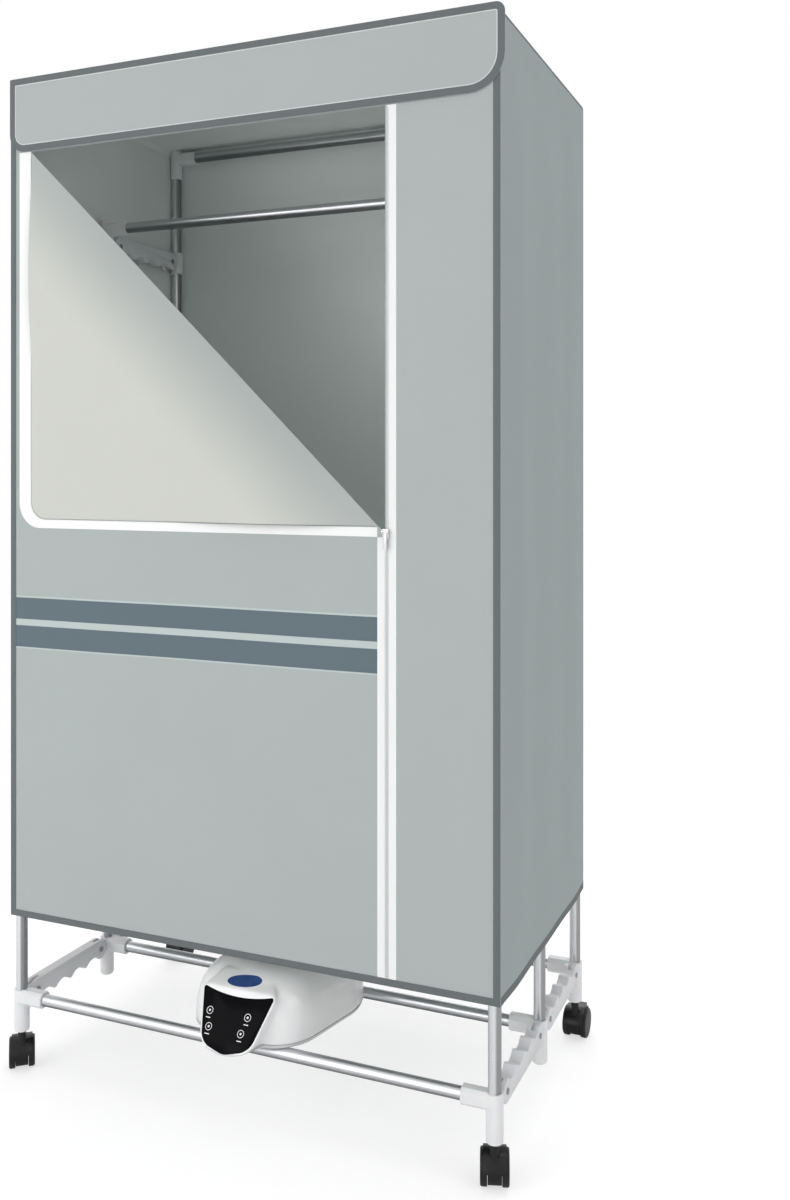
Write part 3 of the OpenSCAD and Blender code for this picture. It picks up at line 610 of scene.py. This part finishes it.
def striped_cloth(name, ground, stripes):
    """Woven cloth with printed bands, each given as low, high, left, right and its colour."""
    made = woven(name, ground)
    tree = made.node_tree
    axes = add_node(tree, "SeparateXYZ")
    link(tree, (add_node(tree, "TexCoord").outputs["Object"], axes.inputs[0]))
    printed = None
    for low, high, left, right, tone in stripes:
        masks = [math_node(tree, "COMPARE", axes.outputs[axis],
                           (start + end) / 2, (end - start) / 2)
                 for axis, start, end in ((2, low, high), (0, left, right))]
        band = add_node(tree, "Mix")
        band.data_type = "RGBA"
        link(tree, (math_node(tree, "MULTIPLY", *masks), band.inputs[0]))
        band.inputs[6].default_value = (*ground, 1)
        if printed:
            link(tree, (printed, band.inputs[6]))
        band.inputs[7].default_value = (*tone, 1)
        printed = band.outputs[2]
    link(tree, (printed, effect_of(tree).inputs["Color"]))
    return made


SLATE = (0.121, 0.163, 0.189)
PALE_LINE = (0.50, 0.565, 0.56)
ZIP_HALF = 0.0125
band_ends = (front_low.x + BINDING, zip_x - ZIP_HALF)
delete_faces(front, lambda c: window_left < c.x < window_right
             and window_bottom < c.z < window_top and past_fold(c) > 0)
paint(front, striped_cloth("front_grey", GREY, [
    (0.6395, 0.6725, *band_ends, PALE_LINE),
    (0.599, 0.6395, *band_ends, PALE_LINE),
    (0.640, 0.670, *band_ends, SLATE),
    (0.601, 0.631, *band_ends, SLATE),
]))
slacken(front, 0.0045, (4.5, 1, 3.2), front_hold)
thicken(front, CLOTH, -1, lining)
settle(front, "front_frame", "cover_cloth", "front_panel")


# Tapes. The panel is bound in dark tape on all edges; a white webbing band runs
# down the window's left side and along its foot, and a white zip tape beside it.

binding_dark = woven("binding_dark", (0.135, 0.155, 0.158), {"Threads": 1100.0, "Dents": 0.05})
webbing_white = woven("webbing_white", (0.93, 0.935, 0.935),
                      {"Threads": 900.0, "Depth": 0.4, "Dents": 0.03, "Mottle": 0.02})
zip_white = woven("zip_white", (0.88, 0.885, 0.885),
                  {"Threads": 1300.0, "Depth": 0.4, "Dents": 0.02, "Mottle": 0.02})
coil_white = surface("coil_white", grain, (0.60, 0.62, 0.63), {"Scale": 1500.0, "Roughness": 0.32})
zip_metal = surface("zip_metal", grain, (0.70, 0.71, 0.72),
                    {"Scale": 1500.0, "Depth": 0.2, "Roughness": 0.24}, Metallic=1.0)
moulded("front_binding", "front_edge_tape", 0.00025, binding_dark)
moulded("window_piping", "window_band", 0.00025, webbing_white)

TAPE = 0.0006
TAPE_GAP = 0.0003
tape_low, tape_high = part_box("zip_tape")
tape_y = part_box("front_binding")[0].y
for side, x0, x1, top in (("right", zip_x, tape_high.x, tape_high.z),
                          ("left", tape_low.x, zip_x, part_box("window_piping")[0].z - TAPE_GAP)):
    half = outline_plate("zip_tape_" + side, (x0, tape_low.z), (x1, top), tape_y, (0, 0, 0, 0))
    paint(half, zip_white)
    thicken(half, TAPE, -1)
    settle(half, "front_frame", "zip_tape_cloth", "zip_tape")

# The teeth of the two halves mesh: those on the left stand half a pitch higher.

TOOTH = (0.0030, 0.0008, 0.0011)
TOOTH_PITCH = 0.002
TOOTH_OFF = 0.0010
TOOTH_MARGIN = 0.001
TEETH_DROP = 0.014
for side, x, top, lift in (("right", zip_x + TOOTH_OFF, tape_high.z, 0),
                           ("left", zip_x - TOOTH_OFF, window_bottom - TEETH_DROP, 1)):
    deselect()
    foot = tape_low.z + TOOTH_MARGIN + lift * TOOTH_PITCH / 2
    bpy.ops.mesh.primitive_cube_add(size=1, location=(x, tape_y - TOOTH[1] / 2, foot))
    teeth = bpy.context.object
    teeth.name = "zip_teeth_" + side
    teeth.scale = TOOTH
    bpy.ops.object.transform_apply(location=True, rotation=True, scale=True)
    bpy.ops.object.mode_set(mode="EDIT")
    bpy.ops.mesh.select_all(action="SELECT")
    bpy.ops.mesh.bevel(offset=0.0002, segments=1, affect="EDGES")
    bpy.ops.object.mode_set(mode="OBJECT")
    row = teeth.modifiers.new("row", "ARRAY")
    row.use_relative_offset = False
    row.use_constant_offset = True
    row.constant_offset_displace = (0, 0, TOOTH_PITCH)
    row.count = int((top - tape_low.z - 2 * TOOTH_MARGIN) / TOOTH_PITCH)
    bpy.ops.object.modifier_apply(modifier=row.name)
    paint(teeth, coil_white)
    settle(teeth, "front_frame", "zip_tape_cloth")

moulded("zip_slider", "zip_slider_body", 0.0005, zip_metal)
moulded("zip_pull", "zip_pull_tab", 0.0003, zip_metal)


# Window flap. The cut cloth is peeled down along the diagonal and lies on the
# panel with its pale lining outwards; it rolls over softly at the fold.

ROLL = 0.017
ROLL_CREST = 0.060
ROLL_REACH = 0.230
FOLD_SHADE = (0.42, 0.45, 0.44)
SHADE_WIDTH = 0.125
FLAP_CORNER = 0.025
FLAP_GRID = 0.0095
ROLL_START = 0.22
ROLL_END = 0.16
flap = flat_cloth("window_flap_cloth", (flap_low.x, flap_low.z), (window_right, window_top),
                  flap_high.y, (FLAP_CORNER, 0, 0, 0), FLAP_GRID)
cut(flap, window_corner, fold_side, outer=True)


def fold_share(p):
    """The share of the roll that is left towards either end of the fold."""
    along = (p - Vector((window_left, p.y, window_top))).dot(fold_run.normalized())
    return ease(along / ROLL_START) * ease((fold_length - along) / ROLL_END)


for v in flap.data.vertices:
    d = max(0.0, -past_fold(v.co))
    rise = math.sin(math.pi / 2 * min(1.0, d / ROLL_CREST))
    fall = 1 - ease((d - ROLL_CREST) / (ROLL_REACH - ROLL_CREST))
    v.co.y -= ROLL * rise * fall * fold_share(v.co)

# Painted shade: the lining's colour goes over to FOLD_SHADE within SHADE_WIDTH of the fold,
# standing in for the shade of the roll.
flap_lining = woven("flap_lining", LINING, LINING_WEAVE)
tree = flap_lining.node_tree
across = add_node(tree, "VectorMath", "DOT_PRODUCT")
across.inputs[1].default_value = fold_side
fold_at = fold_side.dot(window_corner)
away = add_node(tree, "MapRange", From_Min=fold_at - SHADE_WIDTH, From_Max=fold_at)
away.interpolation_type = "SMOOTHSTEP"
fold_shade_mix = add_node(tree, "Mix")
fold_shade_mix.data_type = "RGBA"
fold_shade_mix.inputs[6].default_value = (*LINING, 1)
fold_shade_mix.inputs[7].default_value = (*FOLD_SHADE, 1)
link(tree, (add_node(tree, "TexCoord").outputs["Object"], across.inputs[0]),
     (across.outputs["Value"], away.inputs["Value"]), (away.outputs[0], fold_shade_mix.inputs[0]),
     (fold_shade_mix.outputs[2], effect_of(tree).inputs["Color"]))
paint(flap, flap_lining)
thicken(flap, CLOTH, 1, cloth_grey)
settle(flap, "flap", "lining_cloth", "window_flap")


# Valance. A strip sewn to the front's top edge hangs over the window's head,
# with rounded lower corners, dark tape round its edge and a pale line inside.

VALANCE_ROUNDS = (0.025, 0.045, CORNER, 0.002)
VALANCE_OVERHANG = 0.006
VALANCE_REACH = 0.04
RING_TAPE = 0.0004
PALE_WIDTH = 0.0014
valance_high.x += VALANCE_OVERHANG
valance_box = ((valance_low.x, valance_low.z), (valance_high.x, valance_high.z), valance_low.y,
               VALANCE_ROUNDS)
valance = flat_cloth("valance_cloth", *valance_box, GRID)


def valance_hold(p):
    return (edge_share(p.x, valance_low.x + SEWN, valance_high.x - SEWN, SIDE_REACH)
            * edge_share(p.z, valance_low.z + SEWN, valance_high.z - SEWN, VALANCE_REACH))


def edge_ring(name, low, high, y, rounds, start, width, material):
    """Tape that follows a sheet's outline, from start to start + width inside it."""
    edges = outline(low, high, rounds, start) + outline(low, high, rounds, start + width)
    deselect()
    bpy.ops.mesh.primitive_circle_add(vertices=len(edges) // 2, fill_type="NOTHING")
    ring = bpy.context.object
    ring.name = name
    bpy.ops.object.mode_set(mode="EDIT")
    bpy.ops.mesh.select_mode(type="VERT")
    bpy.ops.mesh.select_all(action="SELECT")
    bpy.ops.mesh.extrude_region_move(TRANSFORM_OT_translate={"value": (0, 0, 0.01)})
    bpy.ops.object.mode_set(mode="OBJECT")
    for v, (x, z) in zip(ring.data.vertices, edges):
        v.co = (x, y, z)
    face_front(ring)
    paint(ring, material)
    thicken(ring, RING_TAPE, 1)
    return ring


slacken(valance, 0.002, (6, 1, 9), valance_hold)
paint(valance, cloth_grey)
thicken(valance, CLOTH, -1)
settle(valance, "valance", "cover_cloth", "valance")
line_pale = woven("line_pale", (0.62, 0.65, 0.64), {"Threads": 1300.0, "Dents": 0.02})
for name, start, width, material in (("valance_tape", 0, BINDING, binding_dark),
                                     ("valance_line", BINDING, PALE_WIDTH, line_pale)):
    settle(edge_ring(name, *valance_box, start, width, material), "valance", "binding_cloth")


# Sides, top and back. Each side and the top hangs slack between the front and
# rear corners in three shallow bulges; the back is stretched on the rear frame.

BULGE = 0.003
SIDE_FOLDS = 0.004
FOLD_PACE = (7, 2.2)
LOOSE_REACH = 0.15
FOLD_REACH = 0.08
HEM = 0.0105
TEE_ROOM = 0.0018
TEE_REACH = 0.06
TEE_TOP = 0.07
TEE_FADE = 0.05
side_low, side_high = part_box("right_side_panel")
back_low, back_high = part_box("back_panel")
depth_start = side_low.y
depth_end = side_high.y
depth = depth_end - depth_start
side_x = front_high.x - CLOTH
side_top = side_high.z


def cloth_grid(name, width, length, step):
    """A flat grid at the origin, from 0 to width along X and 0 to length along Y."""
    deselect()
    bpy.ops.mesh.primitive_grid_add(x_subdivisions=round(width / step),
                                    y_subdivisions=round(length / step), size=1,
                                    location=(0.5, 0.5, 0))
    piece = bpy.context.object
    piece.name = name
    bpy.ops.object.transform_apply(location=True)
    piece.scale = (width, length, 1)
    bpy.ops.object.transform_apply(scale=True)
    return piece


def slack(y):
    return BULGE * math.sin(3 * math.pi * (y - depth_start) / depth) ** 2


def crumple(piece):
    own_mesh(piece)


def hem_faces(piece, outer, inner, behind, inside):
    """Paints a sheet before it is thickened: its hem is dark tape, with behind at its back."""
    paint(piece, outer, inner, binding_dark, behind)
    for face in piece.data.polygons:
        face.material_index = 2 if inside(face.center) else 0


def side_bulge(y, z, sign):
    """How far a side stands out: its bulges, its folds, and room for the tees near its hem."""
    loose = edge_share(z, side_low.z, side_top, LOOSE_REACH)
    wave = noise.noise(Vector((sign * 3, y * FOLD_PACE[0], z * FOLD_PACE[1])))
    held = edge_share(y, depth_start, depth_end, FOLD_REACH)
    folds = SIDE_FOLDS * (0.5 + wave) * held * loose
    low_share = 1 - ease((z - side_low.z - TEE_TOP) / TEE_FADE)
    room = TEE_ROOM * edge_share(y, depth_start, depth_end, TEE_REACH) * low_share
    return slack(y) * (0.2 + 0.8 * loose) + folds + room


for side, sign in (("right", 1), ("left", -1)):
    panel = cloth_grid("cover_side_" + side, depth, side_top - side_low.z, GRID)
    cut(panel, (0, HEM, 0), (0, 1, 0))
    for v in panel.data.vertices:
        y, z = depth_start + v.co.x, side_low.z + v.co.y
        v.co = (sign * (side_x + side_bulge(y, z, sign)), y, z)
    if panel.data.polygons[0].normal.x * sign < 0:
        panel.data.flip_normals()
    hem_faces(panel, painted_shade_grey, lining, binding_dark, lambda c: c.z < side_low.z + HEM)
    thicken(panel, CLOTH, 1, lining)
    settle(panel, "front_frame", "side_cloth", side + "_side_panel")
    crumple(panel)

# The top turns down over a quarter round at either side, cut in six strips.

half_top = front_high.x - CORNER
quarter = math.pi / 2 * CORNER
top = cloth_grid("cover_top", 2 * half_top + math.pi * CORNER, depth, GRID)
for x in (quarter, quarter + 2 * half_top):
    cut(top, (x, 0, 0), (1, 0, 0))
for i in range(1, 6):
    for start in (0, quarter + 2 * half_top):
        cut(top, (start + quarter * i / 6, 0, 0), (1, 0, 0))
for v in top.data.vertices:
    across = v.co.x - half_top - quarter
    y = depth_start + v.co.y
    if abs(across) <= half_top:
        rise = slack(y) * edge_share(across, -half_top, half_top, SIDE_REACH)
        v.co = (across, y, front_high.z + rise)
    else:
        turn = (abs(across) - half_top) / CORNER
        v.co = (math.copysign(half_top + CORNER * math.sin(turn), across), y,
                front_high.z - CORNER + CORNER * math.cos(turn))
hem_faces(top, painted_shade_grey, lining, lining, lambda c: abs(c.x) > half_top + 0.001)
thicken(top, CLOTH, -1, lining)
settle(top, "front_frame", "side_cloth", "top_panel")
crumple(top)

back = flat_cloth("cover_back", (back_low.x, back_low.z), (back_high.x, back_high.z), back_high.y,
                  (0, 0, CORNER, CORNER), GRID)
slacken(back, 0.006, (4, 1, 2.5), lambda p: edge_share(p.x, back_low.x, back_high.x, FOLD_REACH)
        * edge_share(p.z, back_low.z, back_high.z, FOLD_REACH))
hem_faces(back, lining, painted_shade_grey, binding_dark, lambda c: c.z < back_low.z + BINDING)
thicken(back, CLOTH, 1, painted_shade_grey)
settle(back, "rear_frame", "cover_cloth", "back_panel")


# Heater. A glossy white moulded shell on a thin base plate stands on the front
# and middle bars; a sloped tongue at its front carries the touch panel. The
# outlines are hulls of circles, given as two coordinates and a radius.

HEATER_CENTRE = Vector((0.015, -0.095, 0))
SHELL_PLAN = [(-0.069, -0.075, 0.020), (0.023, -0.055, 0.0595), (0.012, 0.025, 0.088),
              (-0.010, 0.030, 0.080)]
PANEL_TURN = math.radians(56.5)
PANEL_HALF = 0.051
PANEL_LENGTH = 0.074
PANEL_SAG = 0.0065
PANEL_CIRCLES = [(0, 0.024, 0.024), (PANEL_HALF - 0.036, 0.028, 0.024),
                 (0.036 - PANEL_HALF, 0.028, 0.024),
                 (PANEL_HALF - 0.003, PANEL_LENGTH - 0.003, 0.003),
                 (0.003 - PANEL_HALF, PANEL_LENGTH - 0.003, 0.003)]
PANEL_POINTS = 72
HEAD_STEPS = 12
RIM = 0.003
base_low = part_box("heater_base")[0]
shell_low, shell_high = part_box("heater_shell")
panel_foot = Vector((0.008, -0.244, base_low.z + 0.0015))
gloss_white = surface("gloss_white", grain, (0.86, 0.865, 0.87),
                      {"Scale": 500.0, "Depth": 0.03, "Roughness": 0.22, "Mottle": 0.01},
                      Coat_Weight=0.4, Coat_Roughness=0.08)
base_white = surface("base_white", grain, (0.66, 0.67, 0.68),
                     {"Scale": 700.0, "Depth": 0.1, "Roughness": 0.4})


def on_panel(u, v, lift=0.0):
    """A place on the touch panel's plane: u to the right, v up its slope, lift off its face."""
    up = Vector((0, math.cos(PANEL_TURN), math.sin(PANEL_TURN)))
    out = Vector((0, -math.sin(PANEL_TURN), math.cos(PANEL_TURN)))
    return panel_foot + Vector((u, 0, 0)) + up * v + out * lift


def outmost(circles, angle):
    """The point furthest towards angle of a set of circles."""
    way = Vector((math.cos(angle), math.sin(angle)))
    x, y, r = max(circles, key=lambda c: Vector((c[0], c[1])).dot(way) + c[2])
    return Vector((x, y)) + way * r


def panel_outline(grow, sagging=True):
    """The touch panel's outline, grown on all sides; its upper edge sags between the corners."""
    circles = [(u, v, r + grow) for u, v, r in PANEL_CIRCLES]
    points = [outmost(circles, 2 * math.pi * (i + 0.5) / PANEL_POINTS) for i in range(PANEL_POINTS)]
    if not sagging:
        return points
    split = PANEL_POINTS // 4
    head = []
    for i in range(1, HEAD_STEPS):
        along = points[split - 1].lerp(points[split], i / HEAD_STEPS)
        sag = PANEL_SAG * (1 - (2 * i / HEAD_STEPS - 1) ** 2)
        head.append(Vector((along.x, along.y - sag)))
    return points[:split] + head + points[split:]


def prism(name, points, low, high):
    """A solid plate between two depths off the panel's plane, with the given outline on it."""
    deselect()
    bpy.ops.mesh.primitive_circle_add(vertices=len(points), fill_type="NGON")
    piece = bpy.context.object
    piece.name = name
    for v, p in zip(piece.data.vertices, points):
        v.co = on_panel(p.x, p.y, low)
    bpy.ops.object.mode_set(mode="EDIT")
    bpy.ops.mesh.select_all(action="SELECT")
    rise = on_panel(0, 0, high) - on_panel(0, 0, low)
    bpy.ops.mesh.extrude_region_move(TRANSFORM_OT_translate={"value": rise})
    bpy.ops.mesh.select_all(action="SELECT")
    bpy.ops.mesh.normals_make_consistent(inside=False)
    bpy.ops.object.mode_set(mode="OBJECT")
    return piece


def carve(piece, tool, solver):
    """Takes a tool's shape out of a piece, and then the tool away."""
    deselect()
    bpy.context.view_layer.objects.active = piece
    piece.select_set(True)
    cutter = piece.modifiers.new("carve", "BOOLEAN")
    cutter.operation = "DIFFERENCE"
    cutter.solver = solver
    cutter.object = tool
    bpy.ops.object.modifier_apply(modifier=cutter.name)
    bpy.data.objects.remove(tool)


# The shell's dome is a cylinder in rings, drawn in towards its crown.

LEVELS = 16
CROWN_SHARE = 0.55
SIDE_SHARE = 0.45
WALL_POWER = 2.8
SHOULDER_POWER = 0.52
deselect()
bpy.ops.mesh.primitive_cylinder_add(vertices=120, radius=1, depth=1, location=(0, 0, 0.5))
shell = bpy.context.object
shell.name = "heater_shell_form"
bpy.ops.object.transform_apply(location=True)
for i in range(1, LEVELS):
    cut(shell, (0, 0, math.sin(math.pi / 2 * i / LEVELS)), (0, 0, 1))
dome_height = shell_high.z - shell_low.z
for v in shell.data.vertices:
    share = CROWN_SHARE + SIDE_SHARE * max(0.0, 1 - v.co.z ** WALL_POWER) ** SHOULDER_POWER
    spread = outmost(SHELL_PLAN, math.atan2(v.co.y, v.co.x)) * share
    v.co = HEATER_CENTRE + Vector((spread.x, spread.y, shell_low.z + v.co.z * dome_height))

# The tongue runs from the panel's plane back to an upright root inside the
# dome. Both are made one skin, and their joint is smoothed.

ROOT_BACK = 0.078
ROOT_DEPTH = 0.02
ROOT_DROP = 0.007
ROOT_NARROWER = 0.030
SKIN_VOXEL = 0.0017
tongue = prism("tongue", panel_outline(RIM, sagging=False), -0.001, 0.0)
root_height = shell_high.z - ROOT_DROP - base_low.z
root = Vector((panel_foot.x, panel_foot.y + ROOT_BACK, base_low.z + root_height / 2))
bpy.ops.object.mode_set(mode="EDIT")
bpy.ops.mesh.primitive_cube_add(size=1, location=root)
bpy.ops.transform.resize(value=(2 * PANEL_HALF - ROOT_NARROWER, ROOT_DEPTH, root_height),
                         center_override=root)
bpy.ops.mesh.select_all(action="SELECT")
bpy.ops.mesh.convex_hull()
bpy.ops.object.mode_set(mode="OBJECT")
deselect()
tongue.select_set(True)
shell.select_set(True)
bpy.context.view_layer.objects.active = shell
bpy.ops.object.join()
shell.data.remesh_voxel_size = SKIN_VOXEL
bpy.ops.object.voxel_remesh()
soften = shell.modifiers.new("soften", "SMOOTH")
soften.factor = 0.5
soften.iterations = 16
bpy.ops.object.modifier_apply(modifier=soften.name)

# A seat is sunk for the panel, the underside is cut off level and sloped up
# to the front, the rest is hollowed, and the grille's duct opens the crown.

GLASS = 0.002
SEAT_GAP = 0.0001
SEAT_CUT = 0.02
SHELL_WALL = 0.0022
TAIL = math.atan(0.62)
TAIL_START = -0.003
DUCT_GAP = 0.0002
carve(shell, prism("panel_seat", panel_outline(SEAT_GAP), -GLASS - SEAT_GAP, SEAT_CUT), "EXACT")
cut(shell, (0, TAIL_START, base_low.z), (0, -math.sin(TAIL), math.cos(TAIL)), inner=True)
cut(shell, (0, 0, shell_low.z), (0, 0, 1), inner=True)
wall = shell.modifiers.new("wall", "SOLIDIFY")
wall.thickness = SHELL_WALL
wall.offset = -1
bpy.ops.object.modifier_apply(modifier=wall.name)
grille_low, grille_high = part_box("outlet_grille")
duct = (grille_low + grille_high) / 2
bpy.ops.mesh.primitive_cylinder_add(vertices=96, depth=0.1,
                                    radius=(grille_high.x - grille_low.x) / 2 + DUCT_GAP,
                                    location=(duct.x, duct.y, shell_high.z))
carve(shell, bpy.context.object, "FAST")
bpy.context.view_layer.objects.active = shell
shell.select_set(True)
bpy.ops.object.shade_smooth_by_angle(angle=math.radians(32))
paint(shell, gloss_white)
settle(shell, "heater", "heater_white", "heater_shell")
moulded("heater_base", "heater_base_plate", 0.0004, base_white)

glass = surface("panel_glass", grain, (0.004, 0.004, 0.005),
                {"Scale": 300.0, "Depth": 0.01, "Roughness": 0.14, "Mottle": 0.0},
                Specular_IOR_Level=0.03)
plate = prism("touch_panel_glass", panel_outline(0), -GLASS, 0.0)
edge = plate.modifiers.new("edge", "BEVEL")
edge.width = 0.0003
edge.segments = 2
bpy.ops.object.modifier_apply(modifier=edge.name)
bpy.ops.object.shade_smooth_by_angle(angle=math.radians(35))
paint(plate, glass)
settle(plate, "heater", "panel_black", "control_panel")

# Four round touch marks, each with a short dash below it, are printed white on
# the glass. A plain blue oval plate is let into the shell above the panel.

MARK_R = 0.0047
MARK_LINE = 0.0007
MARK_GAP = 0.0026
DASH = (0.0066, 0.0011, 1)
DASH_DROP = 0.0085
PRINT_LIFT = 0.00005
PRINT = 0.00012
print_white = surface("print_white", grain, (0.82, 0.83, 0.84),
                      {"Scale": 900.0, "Depth": 0.02, "Roughness": 0.4})
panel_tilt = (PANEL_TURN, 0, 0)
marks = []
for u, v in ((-0.0340, 0.0462), (-0.0297, 0.0275), (0.0215, 0.0462), (0.0175, 0.0265)):
    deselect()
    bpy.ops.mesh.primitive_circle_add(vertices=48, radius=MARK_R, fill_type="NGON",
                                      location=on_panel(u, v, PRINT_LIFT), rotation=panel_tilt)
    mark = bpy.context.object
    bpy.ops.object.mode_set(mode="EDIT")
    bpy.ops.mesh.select_mode(type="FACE")
    bpy.ops.mesh.select_all(action="SELECT")
    bpy.ops.mesh.inset(thickness=MARK_LINE)
    bpy.ops.mesh.inset(thickness=MARK_GAP)
    bpy.ops.object.mode_set(mode="OBJECT")
    for face in mark.data.polygons:
        r = (mark.matrix_world @ face.center - on_panel(u, v)).length
        face.select = MARK_R - MARK_LINE - MARK_GAP < r < MARK_R - MARK_LINE
    bpy.ops.object.mode_set(mode="EDIT")
    bpy.ops.mesh.delete(type="FACE")
    bpy.ops.object.mode_set(mode="OBJECT")
    bpy.ops.object.transform_apply(location=True, rotation=True, scale=True)
    marks.append(mark)
    bpy.ops.mesh.primitive_plane_add(size=1, location=on_panel(u, v - DASH_DROP, PRINT_LIFT),
                                     rotation=panel_tilt)
    dash = bpy.context.object
    dash.scale = DASH
    bpy.ops.object.transform_apply(location=True, rotation=True, scale=True)
    marks.append(dash)
deselect()
for mark in marks:
    mark.select_set(True)
bpy.context.view_layer.objects.active = marks[0]
bpy.ops.object.join()
touch_marks = bpy.context.object
touch_marks.name = "touch_marks"
bpy.ops.object.transform_apply(location=True, rotation=True, scale=True)
paint(touch_marks, print_white)
thicken(touch_marks, PRINT, 1)
settle(touch_marks, "heater", "heater_white")

OVAL = (0.0485, 0.0190)
OVAL_CENTRE = Vector((0.009, -0.190, 0.4))
OVAL_LEAN = math.radians(26)
OVAL_TURN = math.radians(8)
oval_out = Vector((0, -math.sin(OVAL_LEAN), math.cos(OVAL_LEAN)))
oval_up = Vector((0, math.cos(OVAL_LEAN), math.sin(OVAL_LEAN)))
badge_blue = surface("badge_blue", grain, (0.020, 0.065, 0.23),
                     {"Scale": 900.0, "Depth": 0.02, "Roughness": 0.25}, Coat_Weight=0.5)
seat = shell.ray_cast(OVAL_CENTRE, Vector((0, 0, -1)))[1]
for name, grow, lift, material in (("oval_border", 0.0016, 0.0003, print_white),
                                   ("oval_plate", 0.0, 0.0005, badge_blue)):
    deselect()
    bpy.ops.mesh.primitive_circle_add(vertices=64, radius=1, fill_type="NGON")
    oval = bpy.context.object
    oval.name = name
    bpy.ops.object.mode_set(mode="EDIT")
    bpy.ops.mesh.select_mode(type="FACE")
    bpy.ops.mesh.select_all(action="SELECT")
    for _ in range(5):
        bpy.ops.mesh.inset(thickness=0.17)
    bpy.ops.object.mode_set(mode="OBJECT")
    for v in oval.data.vertices:
        x, y = v.co.x * (OVAL[0] / 2 + grow), v.co.y * (OVAL[1] / 2 + grow)
        u = x * math.cos(OVAL_TURN) - y * math.sin(OVAL_TURN)
        w = x * math.sin(OVAL_TURN) + y * math.cos(OVAL_TURN)
        above = seat + Vector((u, 0, 0)) + oval_up * w + oval_out * 0.03
        v.co = shell.ray_cast(above, -oval_out)[1] + oval_out * lift
    paint(oval, material)
    thicken(oval, 0.0004 + lift, -1)
    settle(oval, "heater", "heater_white")

# Inside the shell: the fan blows up through a ceramic heating element and the
# round grille, driven by a small motor; a circuit board sits behind the panel.

grille_plastic = surface("grille_plastic", grain, (0.62, 0.63, 0.64),
                         {"Scale": 800.0, "Depth": 0.12, "Roughness": 0.4})
board_green = surface("board_green", grain, (0.02, 0.14, 0.05),
                      {"Scale": 600.0, "Depth": 0.1, "Roughness": 0.45})
element_alloy = surface("element_alloy", grain, (0.36, 0.36, 0.37),
                        {"Scale": 900.0, "Roughness": 0.42}, Metallic=1.0)
motor_steel = surface("motor_steel", grain, (0.42, 0.43, 0.44),
                      {"Scale": 900.0, "Roughness": 0.36}, Metallic=1.0)
impeller_black = surface("impeller_black", grain, (0.03, 0.03, 0.033),
                         {"Scale": 900.0, "Depth": 0.12, "Roughness": 0.45})
gland_rubber = surface("gland_rubber", grain, (0.015, 0.015, 0.016),
                       {"Scale": 900.0, "Depth": 0.3, "Roughness": 0.7})
screw_steel = surface("screw_steel", grain, (0.55, 0.56, 0.57),
                      {"Scale": 1400.0, "Roughness": 0.3}, Metallic=1.0)
moulded("outlet_grille", "outlet_duct", 0.0003, grille_plastic)
moulded("fan_impeller", "fan_wheel", 0.0002, impeller_black)
moulded("cord_gland", "cord_gland_rubber", 0.0004, gland_rubber)
for node, material in (("circuit_board", board_green), ("heating_element", element_alloy),
                       ("fan_motor", motor_steel), ("heater_screws", screw_steel)):
    paint(nodes[node], material)
